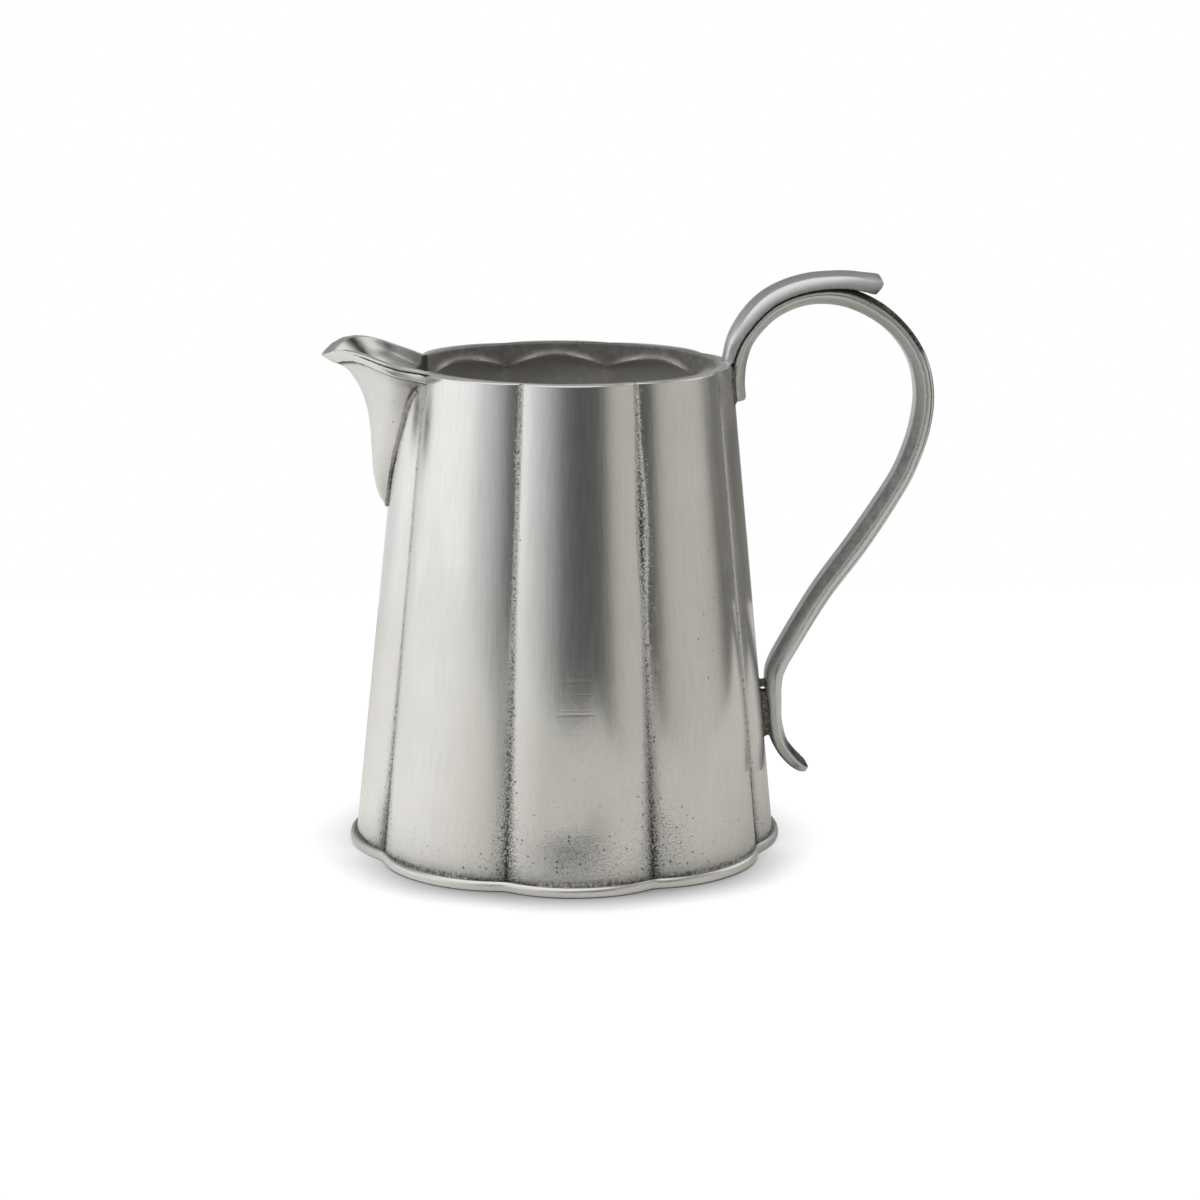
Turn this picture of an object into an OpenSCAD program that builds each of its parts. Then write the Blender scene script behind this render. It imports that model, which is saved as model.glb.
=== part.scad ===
// Milk jug of cast pewter: a tapering body of eight lobes on a moulded foot rim, an applied
// spout on the -X side and a scroll handle with a leaf on the +X side, all soldered together.
// The origin is the middle of the foot on the table, +Z is up.

/* [Body] */
// Height from the table to the rim
body_h = 92; // [80:1:110]
// Width across opposite lobes, carried down to the table
base_d = 80.6; // [76:0.2:92]
// Width across opposite lobes at the rim
rim_d = 62; // [56:0.5:70]
// Depth of the seams below the crests of the lobes
seam_depth = 1.65; // [0.8:0.05:2.4]
// Angle of the lobe behind the spout and of the one under the handle
end_lobe_angle = 48; // [44:1:52]
// Angle of each of the two side lobes
side_lobe_angle = 41; // [38:1:50]
// Thickness of the wall
wall_t = 1.4; // [1:0.1:2]
// Rounding of the rim's outer edge
rim_round = 0.5; // [0.2:0.1:0.8]
// Height of the round band inside the mouth, over the middle of a lobe
band_h = 2.6; // [1.6:0.1:4]
// How much lower the band reaches at the seams
arch_drop = 2.2; // [0:0.1:4]
// Radius of the vault that closes each lobe under the band
vault_r = 1.6; // [0.6:0.1:3]

/* [Foot] */
// How far the foot rim stands out from the wall
foot_proud = 1.25; // [0.6:0.1:2]
// Height of the foot rim's outer edge
foot_edge_h = 1.9; // [1.5:0.1:3]
// Height at which the foot rim meets the wall
foot_h = 2.5; // [2.1:0.1:3.6]
// Height of the ledge that carries the wall and the base plate
ledge_h = 1.3; // [0.9:0.1:1.8]
// Width of the flat ring on the table
ring_w = 6.3; // [3:0.1:12]
// Thickness of the base plate
base_t = 1.6; // [1:0.1:2.4]

/* [Spout] */
// From the wall at the rim to the tip
spout_reach = 15.1; // [10:0.5:20]
// From the rim down to the lower end of the keel
spout_drop = 27.3; // [20:0.5:40]
// Width across the lips where they meet the body
spout_root_w = 28; // [25:0.2:30]
// How much further out the lips swell on each side
lip_swell = 3.6; // [1:0.2:5]
// Height of the tip above the rim
tip_lift = 1.7; // [0:0.1:4]
// How far the lips arch up between the tip and the body
lip_arch = 2.6; // [1:0.1:4]
// Height of the moulded band along the lips
lip_band_h = 2.3; // [1.6:0.1:3]
// How far the band stands out
lip_band_proud = 0.4; // [0.2:0.1:0.8]
// How far the tip leans out beyond the band's lower edge
tip_lean = 2.9; // [1.5:0.1:4]
// Thickness of the spout
spout_t = 1.3; // [0.9:0.1:1.8]
// How far the spout laps over the wall round the opening
spout_lap = 1.4; // [0.8:0.1:2]

/* [Handle] */
// Room between the wall and the strap at its widest
handle_reach = 34.4; // [28:0.2:40]
// Gap between the wall and the strap at the lug
strap_gap = 1.2; // [0.8:0.1:2]
// Height of the loop's underside above the rim
handle_rise = 10.7; // [6:0.1:16]
// From the rim down to the tail
handle_drop = 79.9; // [60:0.5:84]
// Width of the strap
strap_w = 7; // [5:0.2:10]
// Full thickness of the strap without its reed
strap_t = 3; // [2.6:0.1:4]
// Width of the reed along the strap's back
reed_w = 4.2; // [2.6:0.1:4.8]
// Height of the reed
reed_h = 0.8; // [0.3:0.1:1.2]
// Width of the leaf at its widest
leaf_w = 8.6; // [7:0.2:11]
// Thickness of the leaf at its tip
leaf_t = 3.3; // [2.4:0.1:4.2]
// Width of the lug between the strap's lower end and the wall
lug_w = 4.8; // [3:0.2:5]

/* [Solder] */
// Thickness of the solder left on the wall round the joints
solder_t = 0.6; // [0.3:0.1:1]
// Width of the solder seam beside the spout
seam_w = 1.2; // [0.6:0.1:2]
// Width of the solder beside the handle's upper end
pad_w = 2.4; // [1.2:0.1:3]

/* [Hidden] */

lobe_steps = 12;
base_r = base_d / 2;
rim_r = rim_d / 2;
diag_lobe_angle = (180 - end_lobe_angle - side_lobe_angle) / 2;
band_r = rim_r - seam_depth - wall_t;
overrun = wall_t;

pewter = [0.74, 0.73, 0.70];
pewter_dark = [0.60, 0.59, 0.57];
solder_grey = [0.45, 0.44, 0.42];

// Lobes in turn from the handle round to it again: [angle of the middle, half angle]
LOBES = [
    [0, end_lobe_angle / 2],
    [(end_lobe_angle + diag_lobe_angle) / 2, diag_lobe_angle / 2],
    [90, side_lobe_angle / 2],
    [180 - (end_lobe_angle + diag_lobe_angle) / 2, diag_lobe_angle / 2],
    [180, end_lobe_angle / 2],
    [180 + (end_lobe_angle + diag_lobe_angle) / 2, diag_lobe_angle / 2],
    [270, side_lobe_angle / 2],
    [360 - (end_lobe_angle + diag_lobe_angle) / 2, diag_lobe_angle / 2]
];

function crest_r(z) = base_r + (rim_r - base_r) * z / body_h;

// Distance from the axis at the angle a off a lobe's middle: an arc through two seams and a crest
function lobe_r(crest, seam, half, a) =
    let (chord = seam * sin(half))
    let (rise = crest - seam * cos(half))
    let (arc_r = (chord * chord + rise * rise) / (2 * rise))
    let (mid = crest - arc_r)
    mid * cos(a) + sqrt(arc_r * arc_r - mid * mid * sin(a) * sin(a));

// Closed ring of points of the lobed outline at height z
function lobed_ring(crest, seam, z) = [
    for (lobe = LOBES)
    for (j = [0 : lobe_steps - 1])
    let (off = lobe[1] * (2 * j / lobe_steps - 1))
    let (r = lobe_r(crest, seam, lobe[1], off))
    [r * cos(lobe[0] + off), r * sin(lobe[0] + off), z]
];

// The inside of the wall: lobes closed by vaults under a round band at the mouth
function inner_r(lobe, j, z) =
    let (t = 2 * j / lobe_steps - 1)
    let (open = lobe_r(crest_r(z) - wall_t, crest_r(z) - seam_depth - wall_t, lobe[1], lobe[1] * t))
    let (below = body_h - band_h - arch_drop * t * t - z)
    let (q = min(max(below, 0), vault_r))
    min(open, band_r + (below >= vault_r ? open : sqrt(q * (2 * vault_r - q)) / vault_r * (open - band_r)));

function inner_ring(z) = [
    for (lobe = LOBES)
    for (j = [0 : lobe_steps - 1])
    let (a = lobe[0] + lobe[1] * (2 * j / lobe_steps - 1))
    let (r = z > body_h - band_h ? band_r : inner_r(lobe, j, z))
    [r * cos(a), r * sin(a), z]
];

// Faces that join rings of n points, each ring seen from outside to run anticlockwise
function skin_faces(rings, n) = [
    for (k = [0 : rings - 2])
    for (j = [0 : n - 1])
    for (f = [
        [k * n + j, (k + 1) * n + j, (k + 1) * n + (j + 1) % n],
        [k * n + j, (k + 1) * n + (j + 1) % n, k * n + (j + 1) % n]])
    f
];

function cap(start, n) = [for (j = [0 : n - 1]) start + j];
function turned(face) = [for (j = [len(face) - 1 : -1 : 0]) face[j]];
function joined(lists) = [for (l = lists) for (p = l) p];

// Point on a smooth curve through a list of points, u from 0 to 1 along the list
function smooth_at(pts, u) =
    let (n = len(pts) - 1)
    let (i = min(floor(u * n), n - 1))
    let (t = u * n - i)
    let (b = pts[i])
    let (c = pts[i + 1])
    let (a = i == 0 ? 2 * b - c : pts[i - 1])
    let (d = i == n - 1 ? 2 * c - b : pts[i + 2])
    b + (c - a) * t / 2 + (2 * a - 5 * b + 4 * c - d) * t * t / 2 + (3 * b - a - 3 * c + d) * t * t * t / 2;

// The solid space inside the wall's outer surface, grown outwards
module wall_space(grow = 0) {
    n = lobe_steps * 8;
    rings = [
        lobed_ring(crest_r(ledge_h) + grow, crest_r(ledge_h) - seam_depth + grow, ledge_h),
        lobed_ring(crest_r(body_h) + grow, crest_r(body_h) - seam_depth + grow, body_h)
    ];
    polyhedron(joined(rings), concat([for (f = skin_faces(2, n)) f], [cap(0, n)], [turned(cap(n, n))]));
}

// Body: the lobed wall, open at the spout
vault_steps = 6;
wall_foot_z = ledge_h;
rim_z = body_h - rim_round;

function wall_rings() =
    let (vault_z = body_h - band_h - arch_drop - vault_r)
    concat(
        [inner_ring(wall_foot_z)],
        [for (k = [0 : vault_steps * 2]) inner_ring(vault_z + (body_h - band_h - vault_z) * k / (vault_steps * 2))],
        [inner_ring(body_h)],
        [lobed_ring(rim_r - rim_round, rim_r - seam_depth - rim_round, body_h)],
        [lobed_ring(rim_r - rim_round * (1 - sin(45)), rim_r - seam_depth - rim_round * (1 - sin(45)),
            body_h - rim_round * (1 - sin(45)))],
        [lobed_ring(crest_r(rim_z), crest_r(rim_z) - seam_depth, rim_z)],
        [lobed_ring(crest_r(wall_foot_z), crest_r(wall_foot_z) - seam_depth, wall_foot_z)]
    );

module body_wall() {
    color(pewter)
    difference() {
        wall_shell();
        spout_opening();
    }
}

module wall_shell() {
    n = lobe_steps * 8;
    rings = wall_rings();
    m = len(rings);
    closing = [
        for (j = [0 : n - 1])
        for (f = [
            [(m - 1) * n + j, j, (j + 1) % n],
            [(m - 1) * n + j, (j + 1) % n, (m - 1) * n + (j + 1) % n]])
        f
    ];
    polyhedron(joined(rings), [for (f = concat(skin_faces(m, n), closing)) turned(f)]);
}

// Base: a flat plate inside the foot of the wall
module base_plate() {
    plate_z = ledge_h + base_t;
    outline = lobed_ring(crest_r(plate_z) - wall_t, crest_r(plate_z) - seam_depth - wall_t, 0);
    color(pewter_dark)
    translate([0, 0, ledge_h])
    linear_extrude(base_t)
    polygon([for (p = outline) [p[0], p[1]]]);
}

// Foot: a moulded ring with a rounded edge, a flat ring below and a ledge inside the wall
foot_profile_share = [[0.64, 0], [0.86, 0.14], [1, 0.42], [1, 0.68], [0.86, 0.92], [0.66, 1], [0.3, 1.06]];
foot_hollow_share = 0.9;

module foot_rim() {
    n = lobe_steps * 8;
    crest = crest_r(foot_edge_h);
    hollow = seam_depth * foot_hollow_share;
    edge = [
        for (p = foot_profile_share)
        lobed_ring(crest + foot_proud * p[0], crest + foot_proud * p[0] - hollow, foot_edge_h * p[1])
    ];
    top = [
        lobed_ring(crest, crest - hollow, foot_h),
        lobed_ring(crest_r(foot_h), crest_r(foot_h) - seam_depth, foot_h),
        lobed_ring(crest_r(ledge_h), crest_r(ledge_h) - seam_depth, ledge_h)
    ];
    rings = concat(edge, top);
    color(pewter)
    difference() {
        polyhedron(joined(rings), concat(skin_faces(len(rings), n), [cap(0, n)],
            [turned(cap((len(rings) - 1) * n, n))]));
        translate([0, 0, -overrun])
        cylinder(d = base_d - 2 * ring_w, h = foot_h + 2 * overrun, $fn = 96);
    }
}

// Spout: rows of points from the lower end of the keel up to the lips. Each row gives the
// keel's distance from the wall, its height, the half width on the wall, the height there,
// the swell of the sides and their arch, as shares of the spout's sizes.
SPOUT_ROWS_share = [
    [0, -1, 0.012, -1, 0, 0],
    [0.12, -0.916, 0.045, -0.93, 0, 0],
    [0.21, -0.773, 0.11, -0.79, 0, 0],
    [0.265, -0.60, 0.26, -0.62, 0, 0],
    [0.305, -0.46, 0.41, -0.47, 0, 0],
    [0.365, -0.32, 0.51, -0.345, 0.08, 0],
    [0.465, -0.183, 0.60, -0.22, 0.24, 0.03],
    [0.58, -0.088, 0.70, -0.13, 0.46, 0.15],
    [0.68, -0.03, 0.83, -0.10, 0.72, 0.4]
];
spout_steps = 12;
arch_share = [0, 0.60, 0.93, 1, 0.92, 0.76, 0.60, 0.44, 0.32, 0.20, 0];

function wall_x(y, z) =
    let (a = asin(min(abs(y) / (crest_r(z) - seam_depth), 1)))
    let (over = a > end_lobe_angle / 2)
    let (lobe = over ? LOBES[1] : LOBES[0])
    let (r = lobe_r(crest_r(z), crest_r(z) - seam_depth, lobe[1], a - lobe[0]))
    sqrt(max(r * r - y * y, 0));

// One row: an arc from the keel to the wall on each side, wider and arched as asked.
// edge and keel are [x, z] pairs, half is the half width on the wall.
function spout_row(keel, edge, half, swell, arch) = [
    for (j = [-spout_steps : spout_steps])
    let (t = abs(j) / spout_steps)
    let (a = 1 - cos(90 * t))
    let (y = half * sin(90 * t) + swell * pow(max(sin(180 * t * t), 0), 1.5))
    let (lift = arch * smooth_at(arch_share, a))
    [-(keel[0] + (edge[0] - keel[0]) * a), sign(j) * y, keel[1] + (edge[1] - keel[1]) * a + lift]
];

// The rows of the spout's skin, or of its inside when it is drawn in by the thickness given.
// Below the channel the inside lies in the wall, so that the spout is solid there.
channel_row = 3;
function spout_rows(inset) =
    let (low = [
        for (i = [0 : len(SPOUT_ROWS_share) - 1])
        let (s = SPOUT_ROWS_share[i])
        let (kz = body_h + s[1] * spout_drop)
        let (ez = body_h + s[3] * spout_drop)
        let (half = s[2] * spout_root_w / 2)
        inset > 0 && i < channel_row
            ? spout_row([crest_r(kz) - overrun, kz], [wall_x(half / 2, ez) - 2 * overrun, ez], half / 2, 0, 0)
            : spout_row([crest_r(kz) + s[0] * spout_reach - inset, kz], [wall_x(half, ez) - overrun, ez],
                half - inset, s[4] * lip_swell, s[5] * lip_arch)])
    let (band_z = body_h + tip_lift - lip_band_h)
    let (root = spout_root_w / 2)
    let (root_x = wall_x(root, body_h) - overrun)
    let (low_x = rim_r + spout_reach - tip_lean)
    concat(low, [
        spout_row([low_x - lip_band_proud - inset, band_z + 0.3 * lip_band_h], [root_x, body_h - 1.1 * lip_band_h],
            root - lip_band_proud - inset, lip_swell, 0.8 * lip_arch),
        spout_row([low_x - inset, band_z + 0.4 * lip_band_h], [root_x, body_h - lip_band_h],
            root - inset, lip_swell, 0.85 * lip_arch),
        spout_row([rim_r + spout_reach - 1.6 * inset, body_h + tip_lift], [root_x, body_h],
            root - inset, lip_swell, lip_arch)
    ]);

// Faces of an open sheet of rows of n points, seen from the side where the rows run clockwise
function sheet(start, rows, n) = [
    for (k = [0 : rows - 2])
    for (j = [0 : n - 2])
    let (p = start + k * n + j)
    for (f = [[p, p + 1, p + n + 1], [p, p + n + 1, p + n]])
    f
];

// Faces between the edges of two sheets of the same make, the first one outside
function sheet_edges(rows, n) =
    let (m = rows * n)
    concat(
        [for (j = [0 : n - 2]) for (f = [[j, m + j, m + j + 1], [j, m + j + 1, j + 1]]) f],
        [for (j = [0 : n - 2]) let (p = m - n + j) for (f = [[p, p + 1, m + p + 1], [p, m + p + 1, m + p]]) f],
        [for (k = [0 : rows - 2]) let (p = k * n) for (f = [[p, p + n, m + p + n], [p, m + p + n, m + p]]) f],
        [for (k = [0 : rows - 2]) let (p = k * n + n - 1) for (f = [[p, m + p, m + p + n], [p, m + p + n, p + n]]) f]
    );

// The trough as cast, its edges carried into the wall
module spout_trough() {
    n = 2 * spout_steps + 1;
    outside = spout_rows(0);
    inside = spout_rows(spout_t);
    m = len(outside);
    back = [for (f = sheet(m * n, m, n)) turned(f)];
    polyhedron(joined(concat(outside, inside)), concat(sheet(0, m, n), back, sheet_edges(m, n)));
}

module spout() {
    color(pewter)
    difference() {
        spout_trough();
        wall_space();
    }
}

// The opening through the wall behind the spout, inside the soldered edge
module spout_opening() {
    low = [for (i = [channel_row : len(SPOUT_ROWS_share) - 2]) SPOUT_ROWS_share[i]];
    side = [for (s = low) [s[2] * spout_root_w / 2 - spout_lap, body_h + s[3] * spout_drop]];
    root = (rim_r - seam_depth) * sin(end_lobe_angle / 2) - spout_lap / 2;
    one = concat([[0, side[0][1] - spout_lap]], side, [[root, body_h - lip_band_h], [root, body_h + overrun]]);
    outline = concat(one, [for (i = [len(one) - 1 : -1 : 1]) [-one[i][0], one[i][1]]]);
    translate([-base_r, 0, 0])
    rotate([90, 0, 90])
    linear_extrude(base_r - rim_r * 0.5)
    polygon(outline);
}

// Solder: the bead that stands on the wall along the spout's edge
seam_section_share = [[0.12, 0.2], [0.12, 0.9], [0.4, 1], [0.8, 0.6], [1.1, 0.2]];
seam_swell_share = 0.38;

function seam_path() =
    let (low = [
        for (s = SPOUT_ROWS_share)
        [s[2] * spout_root_w / 2 + s[4] * lip_swell * seam_swell_share, body_h + s[3] * spout_drop]])
    concat([for (i = [len(low) - 1 : -1 : 2]) [-low[i][0], low[i][1]]], [[0, low[0][1]]],
        [for (i = [2 : len(low) - 1]) low[i]]);

module spout_solder() {
    path = seam_path();
    m = len(path);
    n = len(seam_section_share);
    rings = [
        for (i = [0 : m - 1])
        let (a = path[max(i - 1, 0)])
        let (b = path[min(i + 1, m - 1)])
        let (d = [b[1] - a[1], a[0] - b[0]] / norm(b - a))
        [
            for (q = seam_section_share)
            let (y = path[i][0] + d[0] * q[0] * seam_w)
            let (z = path[i][1] - abs(d[1]) * q[0] * seam_w)
            [-(wall_x(y, z) + q[1] * solder_t), y, z]
        ]
    ];
    faces = concat(skin_faces(m, n), [cap(0, n)], [turned(cap((m - 1) * n, n))]);
    color(solder_grey)
    polyhedron(joined(rings), [for (f = faces) turned(f)]);
}

// Handle: the line of the strap's inner face from its upper end round to the tail. Each row
// gives the distance from the wall beyond the gap at the lug, the height above or below the
// rim, the thickness and the height of the reed, as shares of the handle's sizes.
STRAP_share = [
    [0.026, -0.089, 0.95, 0],
    [0.0281, -0.044, 0.92, 0],
    [0.053, 0.05, 0.82, 0],
    [0.1131, 0.41, 0.75, 0],
    [0.2519, 0.80, 0.84, 0],
    [0.427, 1.00, 0.88, 0],
    [0.6073, 0.98, 1.00, 0],
    [0.7689, 0.77, 0.94, 0.5],
    [0.8995, 0.43, 0.87, 1],
    [0.9813, -0.004, 0.90, 1],
    [1, -0.076, 0.97, 1],
    [0.9658, -0.151, 1.00, 1],
    [0.8943, -0.225, 1.00, 1],
    [0.799, -0.292, 1.03, 1],
    [0.5731, -0.416, 1.12, 1],
    [0.3317, -0.542, 1.02, 1],
    [0.1265, -0.670, 0.94, 0.5],
    [0.0374, -0.738, 0.92, 0.1],
    [0.0094, -0.788, 0.85, 0],
    [0.0074, -0.826, 0.78, 0],
    [0.0012, -0.864, 0.83, 0],
    [-0.0009, -0.907, 0.92, 0],
    [0.0167, -0.935, 0.94, 0],
    [0.0467, -0.959, 0.93, 0],
    [0.0975, -0.984, 0.88, 0],
    [0.1483, -0.9975, 0.78, 0],
    [0.196, -1.0, 0.60, 0]
];

// Half of the strap's section as shares: across the width, and out from the inner face
STRAP_HALF_share = [[0.86, 0], [1, 0.22], [1, 0.70], [0.88, 1]];
strap_steps = 3;

function handle_z(s) = body_h + s * (s > 0 ? handle_rise : handle_drop);
function strap_line(s) =
    let (z = handle_z(s[1]))
    let (stand = strap_gap + s[0] * (handle_reach - strap_gap))
    [crest_r(z) + stand, z, s[2] * strap_t, s[3] * reed_h];
function strap_at(u) = smooth_at([for (s = STRAP_share) strap_line(s)], u);

// Direction out of the inner face at u along a line of points
function out_of(line, u) =
    let (e = 0.004)
    let (a = smooth_at(line, max(u - e, 0)))
    let (b = smooth_at(line, min(u + e, 1)))
    let (d = [b[0] - a[0], b[1] - a[1]])
    [-d[1], d[0]] / norm(d);

function strap_ring(u) =
    let (line = [for (s = STRAP_share) strap_line(s)])
    let (p = smooth_at(line, u))
    let (n = out_of(line, u))
    let (half = strap_w / 2)
    let (reed = reed_w / 2)
    let (side = concat([for (q = STRAP_HALF_share) [q[0] * half, q[1] * p[2]]],
        [[reed, p[2] + max(p[3], 0) * 0.1], [reed * 0.7, p[2] + max(p[3], 0) * 0.8], [0, p[2] + max(p[3], 0)]]))
    let (other = [for (i = [len(side) - 2 : -1 : 0]) [-side[i][0], side[i][1]]])
    [for (q = concat(side, other)) [p[0] + n[0] * q[1], q[0], p[1] + n[1] * q[1]]];

module strap_solid() {
    count = (len(STRAP_share) - 1) * strap_steps;
    rings = [for (i = [0 : count]) strap_ring(i / count)];
    n = len(rings[0]);
    polyhedron(joined(rings), concat(skin_faces(count + 1, n), [cap(0, n)], [turned(cap(count * n, n))]));
}

module handle_strap() {
    color(pewter)
    difference() {
        strap_solid();
        wall_space();
    }
}

// Leaf: a domed strip soldered along the back of the strap, with a free tip. Each row gives
// the thickness, the width and the height above the strap, as shares, on evenly spaced stations.
LEAF_share = [
    [0.60, 0.66, 0],
    [0.70, 0.72, 0],
    [0.82, 0.84, 0],
    [0.91, 0.95, 0],
    [0.94, 1, 0],
    [0.95, 1, 0],
    [0.96, 0.97, 0],
    [0.98, 0.92, 0.04],
    [1, 0.86, 0.14],
    [0.92, 0.80, 0.26]
];
LEAF_HALF_share = [[0.9, 0], [1, 0.16], [0.96, 0.42], [0.78, 0.72], [0.45, 0.93], [0, 1]];
leaf_first_step = 5;
leaf_last_step = 20;

function leaf_ring(k) =
    let (u = k / ((len(STRAP_share) - 1) * strap_steps))
    let (p = strap_at(u))
    let (n = out_of([for (s = STRAP_share) strap_line(s)], u))
    let (w = smooth_at(LEAF_share, (k - leaf_first_step) / (leaf_last_step - leaf_first_step)))
    let (foot = p[2] + max(w[2], 0) * leaf_t)
    let (side = [for (q = LEAF_HALF_share) [q[0] * w[1] * leaf_w / 2, foot + q[1] * w[0] * leaf_t]])
    let (other = [for (i = [len(side) - 2 : -1 : 0]) [-side[i][0], side[i][1]]])
    [for (q = concat(side, other)) [p[0] + n[0] * q[1], q[0], max(p[1] + n[1] * q[1], body_h)]];

module leaf_solid() {
    rings = [for (k = [leaf_first_step : leaf_last_step]) leaf_ring(k)];
    m = len(rings);
    n = len(rings[0]);
    polyhedron(joined(rings), concat(skin_faces(m, n), [cap(0, n)], [turned(cap((m - 1) * n, n))]));
}

module handle_leaf() {
    color(pewter)
    leaf_solid();
}

// Solder round the strap's upper end, on the wall. It stops where the strap leaves the wall.
pad_top_share = -0.025;

module handle_top_solder() {
    low = handle_z(STRAP_share[0][1]) - pad_w / 2;
    high = handle_z(pad_top_share);
    wide = strap_w + 2 * pad_w;
    color(solder_grey)
    difference() {
        intersection() {
            translate([rim_r - wall_t, -wide / 2, low])
            cube([base_r - rim_r, wide, high - low]);
            wall_space(solder_t);
        }
        wall_space();
        strap_solid();
    }
}

// Lug: the block that holds the strap's lower end off the wall
lug_share = [-0.912, -0.798];
bead_share = [-0.782, -0.764];

module between(z_low, z_high, wide) {
    difference() {
        translate([crest_r(z_high) - wall_t, -wide / 2, z_low])
        cube([wall_t + strap_gap + strap_t / 2, wide, z_high - z_low]);
        wall_space();
        strap_solid();
    }
}

module handle_lug() {
    color(solder_grey)
    between(handle_z(lug_share[0]), handle_z(lug_share[1]), lug_w);
}

// Solder: a bead above the lug, with a pinhole left between them
module handle_lug_solder() {
    color(solder_grey)
    between(handle_z(bead_share[0]), handle_z(bead_share[1]), lug_w * 0.8);
}

body_wall();
base_plate();
foot_rim();
spout();
spout_solder();
handle_strap();
handle_leaf();
handle_top_solder();
handle_lug();
handle_lug_solder();
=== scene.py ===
import math

import bpy
import numpy as np
from mathutils import Matrix


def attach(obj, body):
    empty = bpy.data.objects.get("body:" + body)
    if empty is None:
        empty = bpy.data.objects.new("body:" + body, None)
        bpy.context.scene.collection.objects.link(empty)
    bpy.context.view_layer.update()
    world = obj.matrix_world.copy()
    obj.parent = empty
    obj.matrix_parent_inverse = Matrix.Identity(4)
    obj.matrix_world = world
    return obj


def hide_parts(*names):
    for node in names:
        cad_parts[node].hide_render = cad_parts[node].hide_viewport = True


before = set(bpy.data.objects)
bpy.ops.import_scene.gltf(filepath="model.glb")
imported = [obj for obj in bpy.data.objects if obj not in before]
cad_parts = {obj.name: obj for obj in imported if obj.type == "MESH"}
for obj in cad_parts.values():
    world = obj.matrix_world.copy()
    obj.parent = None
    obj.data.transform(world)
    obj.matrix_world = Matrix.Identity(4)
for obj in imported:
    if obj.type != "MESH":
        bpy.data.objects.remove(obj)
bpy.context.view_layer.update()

# Body: a tapering wall of eight lobes, cast in pewter and brushed up and down, with a round
# band inside the mouth and a vault at the head of each lobe under it. It is open behind the
# spout. The hollows between the lobes keep their dark patina and their casting pits, and
# painted shade lies either side of them.
MM = 0.001
BODY_HEIGHT = 92.0
CREST_AT_TABLE = 40.3
CREST_AT_RIM = 31.0
SEAM_DEPTH = 1.65
WALL = 1.4
LEDGE = 1.3
RIM_ROUND = 0.32
BAND_RADIUS = CREST_AT_RIM - SEAM_DEPTH - WALL
BAND_HEIGHT = 2.6
ARCH_DROP = 2.2
VAULT = 5.0
# Bearing of each lobe's middle, in degrees from the handle, and its half angle
LOBES = [
    (0, 24), (46.75, 22.75), (90, 20.5), (133.25, 22.75),
    (180, 24), (226.75, 22.75), (270, 20.5), (313.25, 22.75)
]
# Half the width of the opening behind the spout, and the height of its edge there
OPENING_WIDTH = [0, 2.2, 4.3, 5.7, 7.0, 8.4, 10.4, 11.6, 12.3]
OPENING_EDGE = [73.7, 75.1, 79.2, 82.6, 86.0, 88.4, 89.5, 90.8, 92.0]


def crest_radius(z):
    """Radius over the crests at height z: a straight taper from the table to the rim."""
    return CREST_AT_TABLE + (CREST_AT_RIM - CREST_AT_TABLE) * z / BODY_HEIGHT


def off_lobe(angle):
    """The lobe that each angle, in degrees, falls in: its half angle and the angle off its middle."""
    middles = np.array([m for m, _ in LOBES], float)
    halves = np.array([h for _, h in LOBES], float)
    off = (angle[..., None] - middles + 180) % 360 - 180
    pick = np.argmin(np.abs(off) / halves, axis=-1)
    return halves[pick], np.take_along_axis(off, pick[..., None], -1)[..., 0]


def lobed_radius(angle, crest, depth, corner=0.25):
    """Radius of the lobed outline: it falls from a crest by 0.7 of the squared share of the way to
    the seam and 0.3 of its fourth power. corner is the rounding of the hollow at the seam in mm."""
    half, off = off_lobe(angle)
    span = np.radians(half) * crest
    gap = (1 - np.abs(off) / half) * span
    u = 1 - (np.sqrt(gap**2 + corner**2) - corner) / (np.sqrt(span**2 + corner**2) - corner)
    return crest - depth * (0.7 * u**2 + 0.3 * u**4)


def seam_distance(angle, radius):
    """Distance in mm along the wall from the nearest seam between two lobes."""
    half, off = off_lobe(angle)
    return np.radians(half - np.abs(off)) * radius


def inner_radius(angle, z):
    """Radius inside the wall: the lobes, closed by a quarter-round vault under the round band."""
    half, off = off_lobe(angle)
    crest = crest_radius(z) - WALL
    lobes = lobed_radius(angle, crest, SEAM_DEPTH)
    below = BODY_HEIGHT - BAND_HEIGHT - ARCH_DROP * (off / half) ** 2 - z
    q = np.clip(below / VAULT, 0, 1)
    bead = 0.6 * np.exp(-((below / 0.65) ** 2)) * np.clip(1.15 - (off / half) ** 4, 0, 1)
    return np.minimum(lobes, BAND_RADIUS + np.sqrt(q * (2 - q)) * (lobes - BAND_RADIUS)) - bead


def rising(value, start, length):
    """0 up to start, 1 from start + length on, and a straight rise between."""
    return np.clip((value - start) / length, 0, 1)


def falling(value, start, length):
    """1 up to start, 0 from start + length on, and a straight fall between."""
    return np.clip((start + length - value) / length, 0, 1)


def patches(rows, angle, radius, height):
    """Soft patches on the wall added up. Each is its strength times e to the minus sum of two squares:
    how far off its bearing and its height a point is, as shares of its half width and half height."""
    total = 0
    for bearing, level, wide, tall, strength in rows:
        across = np.radians((angle - bearing + 180) % 360 - 180) * radius / wide
        total = total + strength * np.exp(-(across**2) - ((height - level) / tall) ** 2)
    return total


def wavering(a, b, seed):
    """A slow unevenness from -1 to 1 over two coordinates: four sine waves of odd lengths added up."""
    total = 0
    for k, (p, q) in enumerate([(1.0, 0.37), (-0.61, 0.83), (0.43, 1.31), (1.73, -0.59)]):
        total = total + np.sin(p * a + q * b + seed * (k + 1.7))
    return total / 4


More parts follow.
